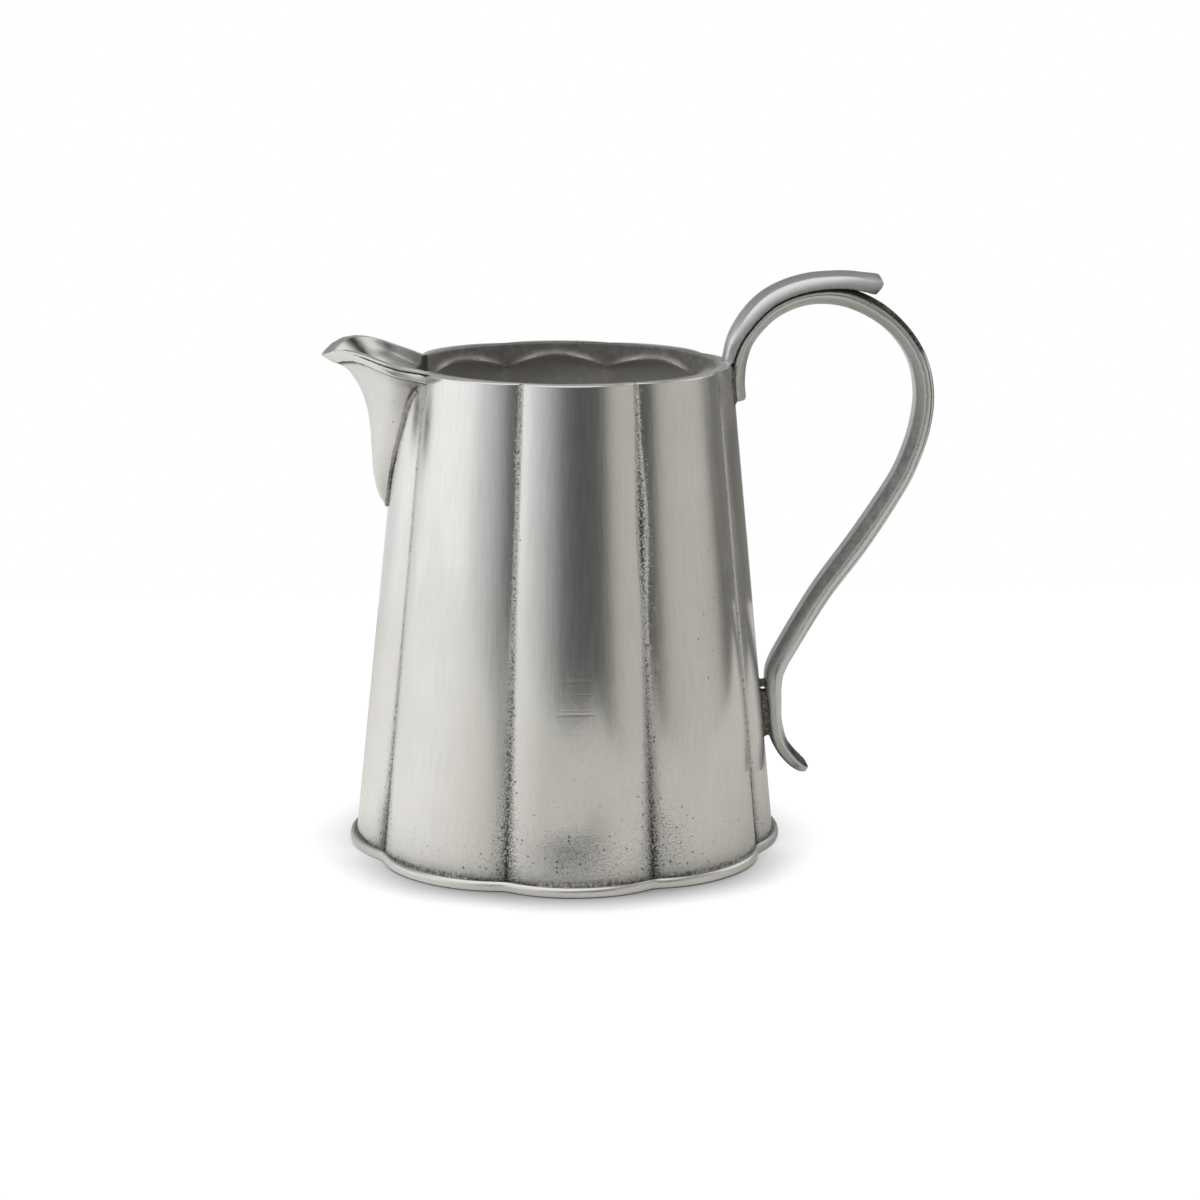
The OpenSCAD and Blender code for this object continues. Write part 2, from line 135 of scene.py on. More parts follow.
def lay_surface(name, points, marks, along=False, ends=False, place=None):
    """Mesh of quads over a grid of points in mm, rows by columns, with the last column joined to the
    first. along joins the last row to the first, and ends closes the first and last rows with fans.
    marks are values laid on the points for the material, place is laid as the UV map in mm."""
    rows, cols = points.shape[:2]
    verts = points.reshape(-1, 3) * MM
    index = np.arange(rows * cols).reshape(rows, cols)
    r = np.arange(rows if along else rows - 1)
    c = np.arange(cols)
    rr, cc = np.meshgrid(r, c, indexing="ij")
    r2, c2 = (rr + 1) % rows, (cc + 1) % cols
    quads = np.stack([index[rr, cc], index[rr, c2], index[r2, c2], index[r2, cc]], -1).reshape(-1, 4)
    if place is None:
        place = np.stack(np.broadcast_arrays(np.arange(cols + 1.0), np.arange(rows + 1.0)[:, None]), -1)
    corners = np.stack([place[rr, cc], place[rr, cc + 1], place[rr + 1, cc + 1], place[rr + 1, cc]], -2)
    faces = quads.tolist()
    uv = [corners.reshape(-1, 2)]
    values = [np.broadcast_to(v, (rows, cols)).reshape(-1) for v in marks.values()]
    if ends:
        for row, back in ((0, True), (rows - 1, False)):
            hub = len(verts)
            verts = np.vstack([verts, verts[index[row]].mean(0)])
            values = [np.append(v, v[index[row]].mean()) for v in values]
            a, b = index[row], np.roll(index[row], -1)
            fan = np.stack([b, a, np.full_like(a, hub)] if back else [a, b, np.full_like(a, hub)], -1)
            faces += fan.tolist()
            uv.append(np.repeat(place[row, :cols], 3, axis=0))
    a, b, d, e = (verts[quads[:, k]] for k in range(4))
    if np.einsum("ij,ij->i", a, np.cross(b, d)).sum() + np.einsum("ij,ij->i", a, np.cross(d, e)).sum() < 0:
        faces = [f[::-1] for f in faces]
        uv = [u.reshape(-1, n, 2)[:, ::-1].reshape(-1, 2) for u, n in zip(uv, (4, 3, 3))]
    mesh = bpy.data.meshes.new(name)
    mesh.from_pydata(verts.tolist(), [], faces)
    mesh.polygons.foreach_set("use_smooth", np.ones(len(faces), bool))
    for label, v in zip(marks, values):
        mesh.attributes.new(label, "FLOAT", "POINT").data.foreach_set("value", v.astype(np.float32))
    layer = mesh.uv_layers.new(name="surface")
    layer.data.foreach_set("uv", (np.vstack(uv) * MM).astype(np.float32).ravel())
    mesh.update()
    piece = bpy.data.objects.new(name, mesh)
    bpy.context.collection.objects.link(piece)
    return piece


def new_node(tree, kind, operation=None):
    """A new shader node of this kind, with its operation set if it has one."""
    node = tree.nodes.new("ShaderNode" + kind)
    if operation:
        node.operation = operation
    return node


def map_range(tree, low, high, to_low=0.0, to_high=1.0):
    """A node that maps the run from low to high onto the run from to_low to to_high."""
    node = new_node(tree, "MapRange")
    for label, value in (("From Min", low), ("From Max", high), ("To Min", to_low), ("To Max", to_high)):
        node.inputs[label].default_value = value
    return node


def link_sockets(tree, pairs):
    """Joins pairs of sockets, each output to the input beside it."""
    for out, into in pairs:
        tree.links.new(out, into)


def marks_of_casting_and_painted_light():
    """Node group of what casting, brushing and wear leave on pewter, and of the painted shade and
    highlight that come in with the crevice and tarnish marks. Place is in mm; Brush place is
    in mm too, drawn out along the brush. It gives a colour, a roughness and a height."""
    group = bpy.data.node_groups.new("Marks of casting and brushing, and painted light", "ShaderNodeTree")
    face = group.interface
    for label in ("Place", "Brush place", "Scuff place"):
        face.new_socket(label, in_out="INPUT", socket_type="NodeSocketVector")
    for label, start in (
        ("Crevice", 0.0), ("Cast", 0.0), ("Tarnish_and_shade", 0.0), ("Scuffs", 0.0),
        ("Pits", 1.0), ("Brushing", 1.0), ("Gloss roughness", 0.25), ("Cast roughness", 0.5)
    ):
        face.new_socket(label, in_out="INPUT", socket_type="NodeSocketFloat").default_value = start
    for label in ("Metal", "Patina_and_shade"):
        face.new_socket(label, in_out="INPUT", socket_type="NodeSocketColor")
    for label, kind in (("Color", "Color"), ("Roughness", "Float"), ("Height", "Float")):
        face.new_socket(label, in_out="OUTPUT", socket_type="NodeSocket" + kind)
    nodes, links = group.nodes, group.links
    given, result = nodes.new("NodeGroupInput"), nodes.new("NodeGroupOutput")

    def grain(scale, detail, place="Place"):
        node = new_node(group, "TexNoise")
        node.inputs["Scale"].default_value = scale
        node.inputs["Detail"].default_value = detail
        links.new(given.outputs[place], node.inputs["Vector"])
        return node.outputs["Fac"]

    def sum_of(operation, *values):
        node = new_node(group, "Math", operation)
        for k, value in enumerate(values):
            if isinstance(value, float):
                node.inputs[k].default_value = value
            else:
                links.new(value, node.inputs[k])
        return node.outputs[0]

    def ease(value, *run):
        node = map_range(group, *run)
        node.interpolation_type = "SMOOTHSTEP"
        links.new(value, node.inputs["Value"])
        return node.outputs[0]

    # Patina, and the painted shade laid on with it: it fills the crevices, with an edge broken up
    # by two sizes of grain
    ragged = sum_of("ADD", sum_of("MULTIPLY", grain(1.6, 3.0), 0.55), sum_of("MULTIPLY", grain(6.0, 2.0), 0.45))
    ragged = sum_of("MULTIPLY", sum_of("SUBTRACT", ragged, 0.5), 1.1)
    dark = ease(sum_of("ADD", given.outputs["Crevice"], ragged), 0.38, 0.9)
    # Pits: small round holes, the more of them the rougher the casting is there
    holes = new_node(group, "TexVoronoi")
    holes.inputs["Scale"].default_value = 0.95
    links.new(given.outputs["Place"], holes.inputs["Vector"])
    spread = new_node(group, "SeparateColor")
    links.new(holes.outputs["Color"], spread.inputs[0])
    size = ease(sum_of("ADD", spread.outputs[0], given.outputs["Cast"]), 0.9, 1.5, 0.0, 0.29)
    pit = ease(sum_of("SUBTRACT", size, holes.outputs["Distance"]), 0.0, 0.1)
    pit = sum_of("MULTIPLY", pit, given.outputs["Pits"])
    fine = ease(sum_of("ADD", grain(3.4, 4.0), sum_of("MULTIPLY", given.outputs["Cast"], 0.16)), 0.66, 0.78)
    fine = sum_of("MULTIPLY", fine, sum_of("MULTIPLY", given.outputs["Cast"], given.outputs["Pits"]))
    spots = sum_of("MAXIMUM", pit, fine)
    # Pebbles: the grain that the mould leaves where no brush reaches
    pebbles = new_node(group, "TexVoronoi")
    pebbles.feature = "SMOOTH_F1"
    pebbles.inputs["Scale"].default_value = 2.5
    links.new(given.outputs["Place"], pebbles.inputs["Vector"])
    grainy = ease(given.outputs["Cast"], 0.3, 1.0)
    # Tarnish, and the painted shade and highlight laid on with it: a soft grey bloom, cloudy at its edges
    cloudy = sum_of("MULTIPLY_ADD", sum_of("SUBTRACT", grain(0.7, 4.0), 0.5), 0.6, 1.0)
    bloom_of_tarnish_and_shade = sum_of("MULTIPLY", given.outputs["Tarnish_and_shade"], cloudy)
    # Brushing: fine streaks and broad soft ones, and a slow cloudiness of the finish
    streaks = sum_of("SUBTRACT", grain(1.0, 5.0, "Brush place"), 0.5)
    clouds = sum_of("SUBTRACT", grain(0.09, 2.0), 0.5)
    # Scuffs: a few level scratches where the jug has been rubbed against another
    scuffs = sum_of("MULTIPLY", ease(grain(1.0, 4.0, "Scuff place"), 0.53, 0.7), given.outputs["Scuffs"])
    shade = sum_of("MULTIPLY_ADD", sum_of("MULTIPLY", streaks, given.outputs["Brushing"]), 0.16, 1.0)
    shade = sum_of("MULTIPLY_ADD", clouds, 0.12, shade)
    toned = new_node(group, "VectorMath", "SCALE")
    tarnished_and_shaded, stained_and_shaded = new_node(group, "Mix"), new_node(group, "Mix")
    tarnished_and_shaded.data_type = stained_and_shaded.data_type = "RGBA"
    link_sockets(
        group,
        [
            (given.outputs["Metal"], toned.inputs[0]),
            (shade, toned.inputs["Scale"]),
            (sum_of("MULTIPLY_ADD", scuffs, 0.22, bloom_of_tarnish_and_shade), tarnished_and_shaded.inputs["Factor"]),
            (toned.outputs[0], tarnished_and_shaded.inputs["A"]),
            (given.outputs["Patina_and_shade"], tarnished_and_shaded.inputs["B"]),
            (sum_of("MAXIMUM", dark, sum_of("MULTIPLY", spots, 0.55)), stained_and_shaded.inputs["Factor"]),
            (tarnished_and_shaded.outputs["Result"], stained_and_shaded.inputs["A"]),
            (given.outputs["Patina_and_shade"], stained_and_shaded.inputs["B"]),
            (stained_and_shaded.outputs["Result"], result.inputs["Color"]),
        ],
    )
    rough = ease(sum_of("ADD", given.outputs["Cast"], sum_of("MULTIPLY", clouds, 0.5)), 0.15, 0.95)
    span = sum_of("SUBTRACT", given.outputs["Cast roughness"], given.outputs["Gloss roughness"])
    rough = sum_of("MULTIPLY_ADD", rough, span, given.outputs["Gloss roughness"])
    rough = sum_of("MULTIPLY_ADD", sum_of("MULTIPLY", streaks, given.outputs["Brushing"]), 0.06, rough)
    rough = sum_of("MULTIPLY_ADD", bloom_of_tarnish_and_shade, 0.7, rough)
    rough = sum_of("MULTIPLY_ADD", scuffs, 0.1, rough)
    rough = sum_of("MULTIPLY_ADD", sum_of("MAXIMUM", dark, spots), 0.25, rough)
    links.new(rough, result.inputs["Roughness"])
    # Height in mm: pits go in, the casting's grain stands proud, the brush leaves fine scratches
    scratches = sum_of("MULTIPLY", streaks, sum_of("MULTIPLY", given.outputs["Brushing"], 0.012))
    height = sum_of("MULTIPLY_ADD", sum_of("MULTIPLY_ADD", scuffs, 0.08, spots), -0.08, scratches)
    height = sum_of("MULTIPLY_ADD", sum_of("MULTIPLY", pebbles.outputs["Distance"], grainy), -0.32, height)
    links.new(height, result.inputs["Height"])
    return group


casting_marks_and_painted_light = marks_of_casting_and_painted_light()


def pewter_finish(
    name, metal, patina_and_shade, pits=1.0, brushing=1.0, gloss=0.25, cast=0.5, by_surface=False, spread=0.0
):
    """Pewter: a metal whose colour, roughness and height come from the marks of casting and brushing,
    and from the painted shade and highlight laid on with the crevice and tarnish marks.
    The brush runs up and down the body, and along the surface map on the pieces of the handle."""
    finish = bpy.data.materials.new(name)
    finish.use_nodes = True
    tree = finish.node_tree
    shader = tree.nodes["Principled BSDF"]
    shader.inputs["Metallic"].default_value = 1.0
    shader.inputs["Anisotropic"].default_value = spread
    marks, where, bump = (new_node(tree, kind) for kind in ("Group", "TexCoord", "Bump"))
    marks.node_tree = casting_marks_and_painted_light
    spots, brush, level = (new_node(tree, "Mapping") for _ in range(3))
    level.inputs["Scale"].default_value = (25, 25, 620)
    spots.inputs["Scale"].default_value = (1000, 1000, 1000)
    brush.inputs["Scale"].default_value = (2600, 55, 1000) if by_surface else (1500, 1500, 28)
    bump.inputs["Strength"].default_value = 1.0
    bump.inputs["Distance"].default_value = MM
    for label, value in (
        ("Pits", pits), ("Brushing", brushing), ("Gloss roughness", gloss), ("Cast roughness", cast),
        ("Metal", (*metal, 1)), ("Patina_and_shade", (*patina_and_shade, 1))
    ):
        marks.inputs[label].default_value = value
    link_sockets(
        tree,
        [
            (where.outputs["Object"], spots.inputs["Vector"]),
            (where.outputs["UV" if by_surface else "Object"], brush.inputs["Vector"]),
            (where.outputs["Object"], level.inputs["Vector"]),
            (spots.outputs[0], marks.inputs["Place"]),
            (level.outputs[0], marks.inputs["Scuff place"]),
            (brush.outputs[0], marks.inputs["Brush place"]),
            (marks.outputs["Color"], shader.inputs["Base Color"]),
            (marks.outputs["Roughness"], shader.inputs["Roughness"]),
            (marks.outputs["Height"], bump.inputs["Height"]),
            (bump.outputs[0], shader.inputs["Normal"]),
        ],
    )
    for label in ("crevice", "cast", "tarnish_and_shade", "scuffs"):
        laid = new_node(tree, "Attribute")
        laid.attribute_name = label
        tree.links.new(laid.outputs["Fac"], marks.inputs[label.capitalize()])
    return finish


PEWTER = (0.79, 0.788, 0.772)
PATINA_AND_SHADE = (0.10, 0.098, 0.09)
brushed_pewter = pewter_finish("brushed pewter", PEWTER, PATINA_AND_SHADE, gloss=0.15, cast=0.34, spread=0.93)
inside_pewter = pewter_finish(
    "unbrushed inside", (0.84, 0.82, 0.79), (0.2, 0.19, 0.175), pits=0.0, brushing=0.3, gloss=0.6, cast=0.64
)

# Rows of points on the wall: outside, over the rounded edge, and into the mouth
OUTER_ROWS, EDGE_ROWS, MOUTH_ROWS = 64, 5, 4
MOUTH_ROUND = 0.4
LOBE_COLUMNS = 60
share = 2 * np.arange(LOBE_COLUMNS) / LOBE_COLUMNS - 1
share = 0.55 * np.sin(share * math.pi / 2) + 0.45 * share
angle = np.concatenate([m + h * share for m, h in LOBES])
width = np.abs(crest_radius(88) * np.sin(np.radians(angle - 180)))
by_spout = np.abs(angle % 360 - 180) < 40
top = np.where(by_spout, np.interp(width, OPENING_WIDTH, OPENING_EDGE), BODY_HEIGHT)
rise = np.linspace(0, 1, OUTER_ROWS)[:, None]
z_out = LEDGE + (top - RIM_ROUND - LEDGE) * rise
r_out = lobed_radius(angle + 0.12 * wavering(z_out / 9, angle / 60, 2.0), crest_radius(z_out), SEAM_DEPTH)
turn = np.radians(np.linspace(18, 90, EDGE_ROWS))[:, None]
z_edge = top - RIM_ROUND + RIM_ROUND * np.sin(turn)
r_edge = r_out[-1] - RIM_ROUND * (1 - np.cos(turn))
below_rim = [np.linspace(0, 2.4, 5), np.linspace(2.6, 8, 26), np.linspace(9, BODY_HEIGHT - LEDGE, 34)]
below_rim = np.concatenate(below_rim)[:, None]
step_down = 0.003 * np.arange(len(below_rim))[:, None]
z_in = np.minimum(BODY_HEIGHT - below_rim, top - step_down) - MOUTH_ROUND
z_in[-1] = LEDGE
r_in = inner_radius(angle, z_in)
turn = np.radians(np.linspace(0, 72, MOUTH_ROWS))[:, None]
z_bead = top - MOUTH_ROUND + MOUTH_ROUND * np.cos(turn)
r_bead = r_in[0] + MOUTH_ROUND * (1 - np.sin(turn))
radius = np.concatenate([r_out, r_edge, r_bead, r_in])
height = np.concatenate([z_out, z_edge, z_bead, z_in])
round_jug = np.radians(angle)
body_points = np.stack([radius * np.cos(round_jug), radius * np.sin(round_jug), height], -1)
row = np.arange(len(radius))[:, None]
outside = row < OUTER_ROWS + EDGE_ROWS
from_seam = seam_distance(angle, radius)
low = falling(height, 0, 55)
near_foot = np.exp(-((height - 2.2) / 1.0).clip(0) ** 1.2)
crevice = np.maximum(0.42 * np.exp(-((from_seam / 0.3) ** 1.5)), 0.78 * near_foot)
crevice = np.where(outside, crevice, 0.0)
# Where the grain of the mould still shows: bearing, height, half width and half height in mm, strength
GRAINY = [(268, 8.5, 6, 4.5, 0.45), (290.8, 66, 1.5, 12, 0.85), (312, 50, 5, 17, 0.4), (296, 9, 5, 6, 0.2)]
cast = np.exp(-((from_seam / (0.65 + 0.5 * low)) ** 1.4)) + 0.4 * low * np.exp(-from_seam / 3)
cast += 0.3 * np.exp(-(height - 2) / 9)
cast += 0.26 * low**2 * (0.65 + 0.35 * np.cos(np.radians(angle - 285)))
cast = np.where(outside, cast + patches(GRAINY, angle, radius, height), 0.5)
# Smudges of tarnish, in the same five values
SMUDGES = [
    (210.5, 83, 1.8, 6.5, 0.6), (201, 84.5, 1.2, 5.5, 0.55), (200, 90.3, 2.5, 1.2, 0.4),
    (266, 8, 5.0, 3.5, 0.28), (274, 12, 3.0, 5.0, 0.14), (336, 88.5, 4.0, 3.5, 0.35),
    (345, 84, 3.0, 5.0, 0.3), (247, 28, 1.5, 20, 0.22), (291, 20, 1.4, 16, 0.18), (203, 6, 2.0, 5, 0.25)
]
# Tarnish and painted shade: spread either side of each seam, for the valleys, with more of it low down; darker
# towards the foot; and the smudges above
tarnish_and_shade = (0.08 + 0.16 * low) * np.exp(-from_seam / 0.8) + 0.4 * np.exp(-((height - 2) / 1.6).clip(0))
tarnish_and_shade += patches(SMUDGES, angle, radius, height)
# Painted shade on the cut edge of the opening behind the spout, laid on as tarnish
painted_shade_on_cut_edge = np.where((top < BODY_HEIGHT - 0.1) & (row > OUTER_ROWS - 2), 0.6, 0.0)
# Inside: a painted highlight along the head of each arch, where the tarnish is taken off, and more tarnish on
# the round band than on the lobes below
half, off = off_lobe(angle)
under_arch = BODY_HEIGHT - BAND_HEIGHT - ARCH_DROP * (off / half) ** 2 - height
painted_arch_highlight = np.exp(-(((under_arch - 0.1) / 0.9) ** 2)) * np.clip(1.25 - 1.5 * (off / half) ** 2, 0, 1)
inside_tarnish_and_painted_highlight = np.where(under_arch < 0, 0.62, 0.25) * (1 - painted_arch_highlight)
tarnish_and_shade = np.where(outside, tarnish_and_shade, inside_tarnish_and_painted_highlight) + painted_shade_on_cut_edge
scuffs = np.exp(-(((height - 34.5) / 3.4) ** 2) - ((angle - 268.5) / 5) ** 4)
scuffs += 0.5 * np.exp(-(((height - 38) / 5) ** 2) - ((angle - 294) / 3) ** 2)
marks = {"crevice": crevice, "cast": cast, "tarnish_and_shade": tarnish_and_shade, "scuffs": scuffs * outside}
body = lay_surface("body", body_points, marks, along=True)
body.data.materials.append(brushed_pewter)
body.data.materials.append(inside_pewter)
inner_faces = np.repeat(row[:, 0] >= OUTER_ROWS + EDGE_ROWS + MOUTH_ROWS - 1, len(angle)).astype(np.int32)
body.data.polygons.foreach_set("material_index", inner_faces)
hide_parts("body_wall")
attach(body, "root")

# Base: a flat cast plate let into the foot of the wall, dull and grey on both sides, and
# soldered there so that the jug holds milk.
dull_pewter = pewter_finish(
    "dull cast pewter", (0.5, 0.49, 0.47), (0.13, 0.125, 0.115), gloss=0.42, cast=0.6, brushing=0.3
)
BASE_TOP = 2.9
share = np.array([0.3, 0.6, 0.85, 0.95, 0.985, 1.0])[:, None]
face_rows = len(share)
rim = lobed_radius(angle, crest_radius(BASE_TOP) - WALL, SEAM_DEPTH)
r_base = np.concatenate([rim * share, np.broadcast_to(rim, (2, len(angle))), rim * share[::-1]])
z_base = [np.full(face_rows, LEDGE), [LEDGE + 0.5, BASE_TOP - 0.3], np.full(face_rows, BASE_TOP)]
z_base = np.concatenate(z_base)[:, None] + 0 * angle
z_base[face_rows + 2] -= 0.06
base_points = np.stack([r_base * np.cos(round_jug), r_base * np.sin(round_jug), z_base], -1)
base = lay_surface("base", base_points, {"crevice": 0.3, "cast": 0.7, "tarnish_and_shade": 0.2}, ends=True)
base.data.materials.append(dull_pewter)
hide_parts("base_plate")
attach(base, "root")

# Foot: a moulded ring with a rounded, polished edge and a dark groove over it, which follows
# the lobes in soft waves. The jug stands on its flat underside.
FOOT_OUT = 1.25
FOOT_EDGE = 1.9
RING_BORE = 34.0
# Share of the rim's projection, height in mm and how dark the patina is there
FOOT_PROFILE = [
    (0.50, 0.0, 0.3), (0.68, 0.03, 0.2), (0.82, 0.14, 0.2), (0.92, 0.34, 0.2), (0.985, 0.6, 0.1),
    (1.0, 0.9, 0), (0.985, 1.2, 0), (0.93, 1.46, 0), (0.84, 1.68, 0), (0.72, 1.82, 0),
    (0.58, 1.88, 0.1), (0.44, 1.86, 0.3), (0.34, 1.84, 0.6), (0.25, 1.88, 0.7), (0.16, 2.0, 0.75),
    (0.08, 2.2, 0.75), (0.01, 2.4, 0.7), (-0.1, 2.45, 0.8), (-0.3, 2.3, 0.8)
]
UNDER_WALL = 37.2
stand_off, level, groove = np.array(FOOT_PROFILE).T[..., None]
even = np.linspace(0, 360, 512, endpoint=False)
wave = np.radians(even)
out = crest_radius(FOOT_EDGE) + FOOT_OUT * stand_off
ring = np.where(stand_off > 0.1, lobed_radius(even, out, 2.2, 1.6), lobed_radius(even, out, 1.9, 0.6))
bore, under_wall = 0 * even + RING_BORE, 0 * even + UNDER_WALL
ring = np.concatenate([[bore, bore], ring, [under_wall, bore]])
z_ring = np.concatenate([[LEDGE - 0.1, 0], level[:, 0], [LEDGE - 0.05, LEDGE - 0.05]])[:, None] + 0 * wave
foot_points = np.stack([ring * np.cos(wave), ring * np.sin(wave), z_ring], -1)
crevice = np.concatenate([[0.4, 0.3], groove[:, 0], [0.5, 0.5]])[:, None] + 0 * wave
# The rim is duller towards the spout and the handle, where it is handled less
tarnish_and_shade = 0.06 + 0.34 * np.cos(wave) ** 6
foot = lay_surface(
    "foot-rim", foot_points, {"crevice": crevice, "cast": 0.15 + 0.4 * crevice, "tarnish_and_shade": tarnish_and_shade}, along=True
)
foot_pewter = pewter_finish(
    "foot rim pewter", (0.83, 0.825, 0.805), PATINA_AND_SHADE, gloss=0.22, cast=0.42, brushing=0.4
)
foot.data.materials.append(foot_pewter)
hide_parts("foot_rim")
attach(foot, "root")

# Spout: a thin cast trough with a broad bowl and a pointed tip. A moulded band runs along its
# lips, a narrow bead on top and a flat face under it. Its edges are set against the wall.
SPOUT_REACH = 15.1
SPOUT_DROP = 27.3
SPOUT_HALF = 14.0
LIP_HALF = 12.3
BOWL_SWELL = 3.6
LIP_SWELL = 5.0
LIP_ARCH = 2.6
TIP_LIFT = 1.7
SPOUT_WALL = 1.3
SPOUT_SEAT = 0.7
# Keel off the wall, its drop, half width on the wall, its drop, swell and arch, as shares
SPOUT_ROWS = [
    (0, -1, 0.012, -1, 0, 0), (0.12, -0.916, 0.045, -0.93, 0, 0), (0.21, -0.773, 0.11, -0.79, 0, 0),
    (0.265, -0.60, 0.26, -0.62, 0, 0), (0.305, -0.46, 0.41, -0.47, 0, 0), (0.365, -0.32, 0.51, -0.345, 0.08, 0),
    (0.465, -0.183, 0.60, -0.22, 0.24, 0.03), (0.58, -0.088, 0.70, -0.13, 0.46, 0.15),
    (0.68, -0.03, 0.83, -0.10, 0.72, 0.4)
]
ARCH_SHARE = [0, 0.60, 0.93, 1, 0.92, 0.76, 0.60, 0.44, 0.32, 0.20, 0]


def smooth_rows(rows, count):
    """A smooth run through rows of points: Catmull and Rom's cubic between each pair, count rows in all."""
    rows = np.asarray(rows, float)
    n = len(rows) - 1
    u = np.linspace(0, n, count)
    i = np.minimum(u.astype(int), n - 1)
    t = (u - i).reshape((-1,) + (1,) * (rows.ndim - 1))
    padded = np.concatenate([[2 * rows[0] - rows[1]], rows, [2 * rows[-1] - rows[-2]]])
    a, b, c, d = (padded[i + k] for k in range(4))
    squared = (2 * a - 5 * b + 4 * c - d) * t**2 / 2
    return b + (c - a) * t / 2 + squared + (3 * b - a - 3 * c + d) * t**3 / 2


def wall_x(y, z):
    """Distance of the wall's outer surface from the middle at y and height z, by five steps of
    angle = the arc sine of y over the radius at that angle."""
    crest = crest_radius(z) + 0 * y
    a = np.degrees(np.arcsin(np.clip(np.abs(y) / (crest - 1), 0, 1)))
    for _ in range(5):
        a = np.degrees(np.arcsin(np.clip(np.abs(y) / lobed_radius(a, crest, SEAM_DEPTH), 0, 1)))
    return lobed_radius(a, crest, SEAM_DEPTH) * np.cos(np.radians(a))


def trough_row(keel, edge, half, swell, arch, t):
    """One row of the trough: a quarter ellipse from the keel to the wall on each side, swollen and
    arched between. t runs from -1 to 1 across it, with the keel at 0."""
    s = np.abs(t)
    a = 1 - np.cos(s * math.pi / 2)
    y = half * np.sin(s * math.pi / 2) + swell * np.maximum(np.sin(math.pi * s**2), 0) ** 1.5
    lift = arch * np.interp(a, np.linspace(0, 1, 11), ARCH_SHARE)
    x = keel[0] + (edge[0] - keel[0]) * a
    z = keel[1] + (edge[1] - keel[1]) * a + lift
    return np.stack([-x, np.sign(t) * y, z], -1)


def trough_rows(inset, t):
    """Rows of the trough's skin from the foot of the keel to the neck, drawn in by inset."""
    rows = []
    for stand, keel_drop, half, edge_drop, swell, arch in SPOUT_ROWS:
        keel_z = BODY_HEIGHT + keel_drop * SPOUT_DROP
        edge_z = BODY_HEIGHT + edge_drop * SPOUT_DROP
        half = half * SPOUT_HALF
        keel = (crest_radius(keel_z) + stand * SPOUT_REACH - inset, keel_z)
        edge = (float(wall_x(np.array(half), edge_z)) - SPOUT_SEAT, edge_z)
        rows.append(trough_row(keel, edge, max(half - inset, 0.05), swell * BOWL_SWELL, arch * LIP_ARCH, t))
    return np.array(rows)


t = np.linspace(-1, 1, 161)
t = 0.5 * t + 0.5 * np.sin(t * math.pi / 2)


def lip_row(back, lift, drop, narrow, arch):
    """A row of the trough near the lips: back is how far it stays behind the tip, lift and drop are its
    heights over and under the rim at the tip and at the wall, and narrow takes off its half width."""
    tip = (CREST_AT_RIM + SPOUT_REACH - back, BODY_HEIGHT + lift)
    root = (float(wall_x(np.array(LIP_HALF), BODY_HEIGHT)) - SPOUT_SEAT, BODY_HEIGHT - drop)
    return trough_row(tip, root, LIP_HALF - narrow, LIP_SWELL, arch * LIP_ARCH, t)


NECK_BACK, NECK_DROP, NECK_NARROW, NECK_ARCH = 3.0, 2.7, 0.2, 0.8
lips = lip_row(0, TIP_LIFT, 0.2, 0, 1)
neck = lip_row(NECK_BACK, 0.15, NECK_DROP, NECK_NARROW, NECK_ARCH)
SKIN_ROWS, LINING_ROWS = 55, 60
skin = smooth_rows(np.concatenate([trough_rows(0, t), neck[None]]), SKIN_ROWS)[:-1]
# Lip band: share of the way from the neck to the lip, stand-off in mm, and patina
BAND = [
    (0.00, 0.02, 1.0), (0.015, 0.16, 1.0), (0.05, 0.38, 0.7), (0.10, 0.50, 0.1), (0.25, 0.54, 0),
    (0.42, 0.52, 0), (0.55, 0.48, 0.1), (0.61, 0.40, 0.5), (0.66, 0.26, 0.9), (0.70, 0.20, 1.0),
    (0.74, 0.28, 0.8), (0.79, 0.42, 0.2), (0.86, 0.50, 0), (0.93, 0.44, 0), (0.98, 0.26, 0), (1.0, 0.0, 0)
]
across = np.gradient(lips, axis=0)
outward = np.stack([across[:, 1], -across[:, 0], 0 * t], -1)
outward /= np.linalg.norm(outward, axis=1, keepdims=True)
outward *= np.sign(np.einsum("ij,ij->i", outward, lips - [[-CREST_AT_RIM, 0, 0]]))[:, None]
band_rows = []
groove_rows = []
# The groove between the bead and the flat face runs out towards the tip
grooved = rising(np.abs(t), 0.33, 0.25)
for way, stand, dark in BAND:
    if 0.5 < way < 0.8:
        stand = stand * grooved + 0.50 * (1 - grooved)
        dark = dark * grooved
    band_rows.append(neck + (lips - neck) * way + outward * (stand - 0.5 * way + 0 * t)[:, None])
    groove_rows.append(dark + 0 * t)
inner = lip_row(2.0, TIP_LIFT - 0.25, 0.4, SPOUT_WALL, 1)
edge = band_rows[-1]
over = [
    edge + (inner - edge) * s + np.array([0, 0, 0.12 * math.sin(math.pi * s)])
    for s in (0.2, 0.4, 0.6, 0.8)
]
inner_neck = lip_row(NECK_BACK + SPOUT_WALL, 0.1, NECK_DROP, NECK_NARROW + SPOUT_WALL, NECK_ARCH)
lining = trough_rows(SPOUT_WALL, t)
for k in range(3):
    lining[k, :, 0] += 3.2 - k * 0.6
lining = smooth_rows(np.concatenate([lining, inner_neck[None], inner[None]]), LINING_ROWS)[::-1]
spout_points = np.concatenate([skin, band_rows, over, lining])
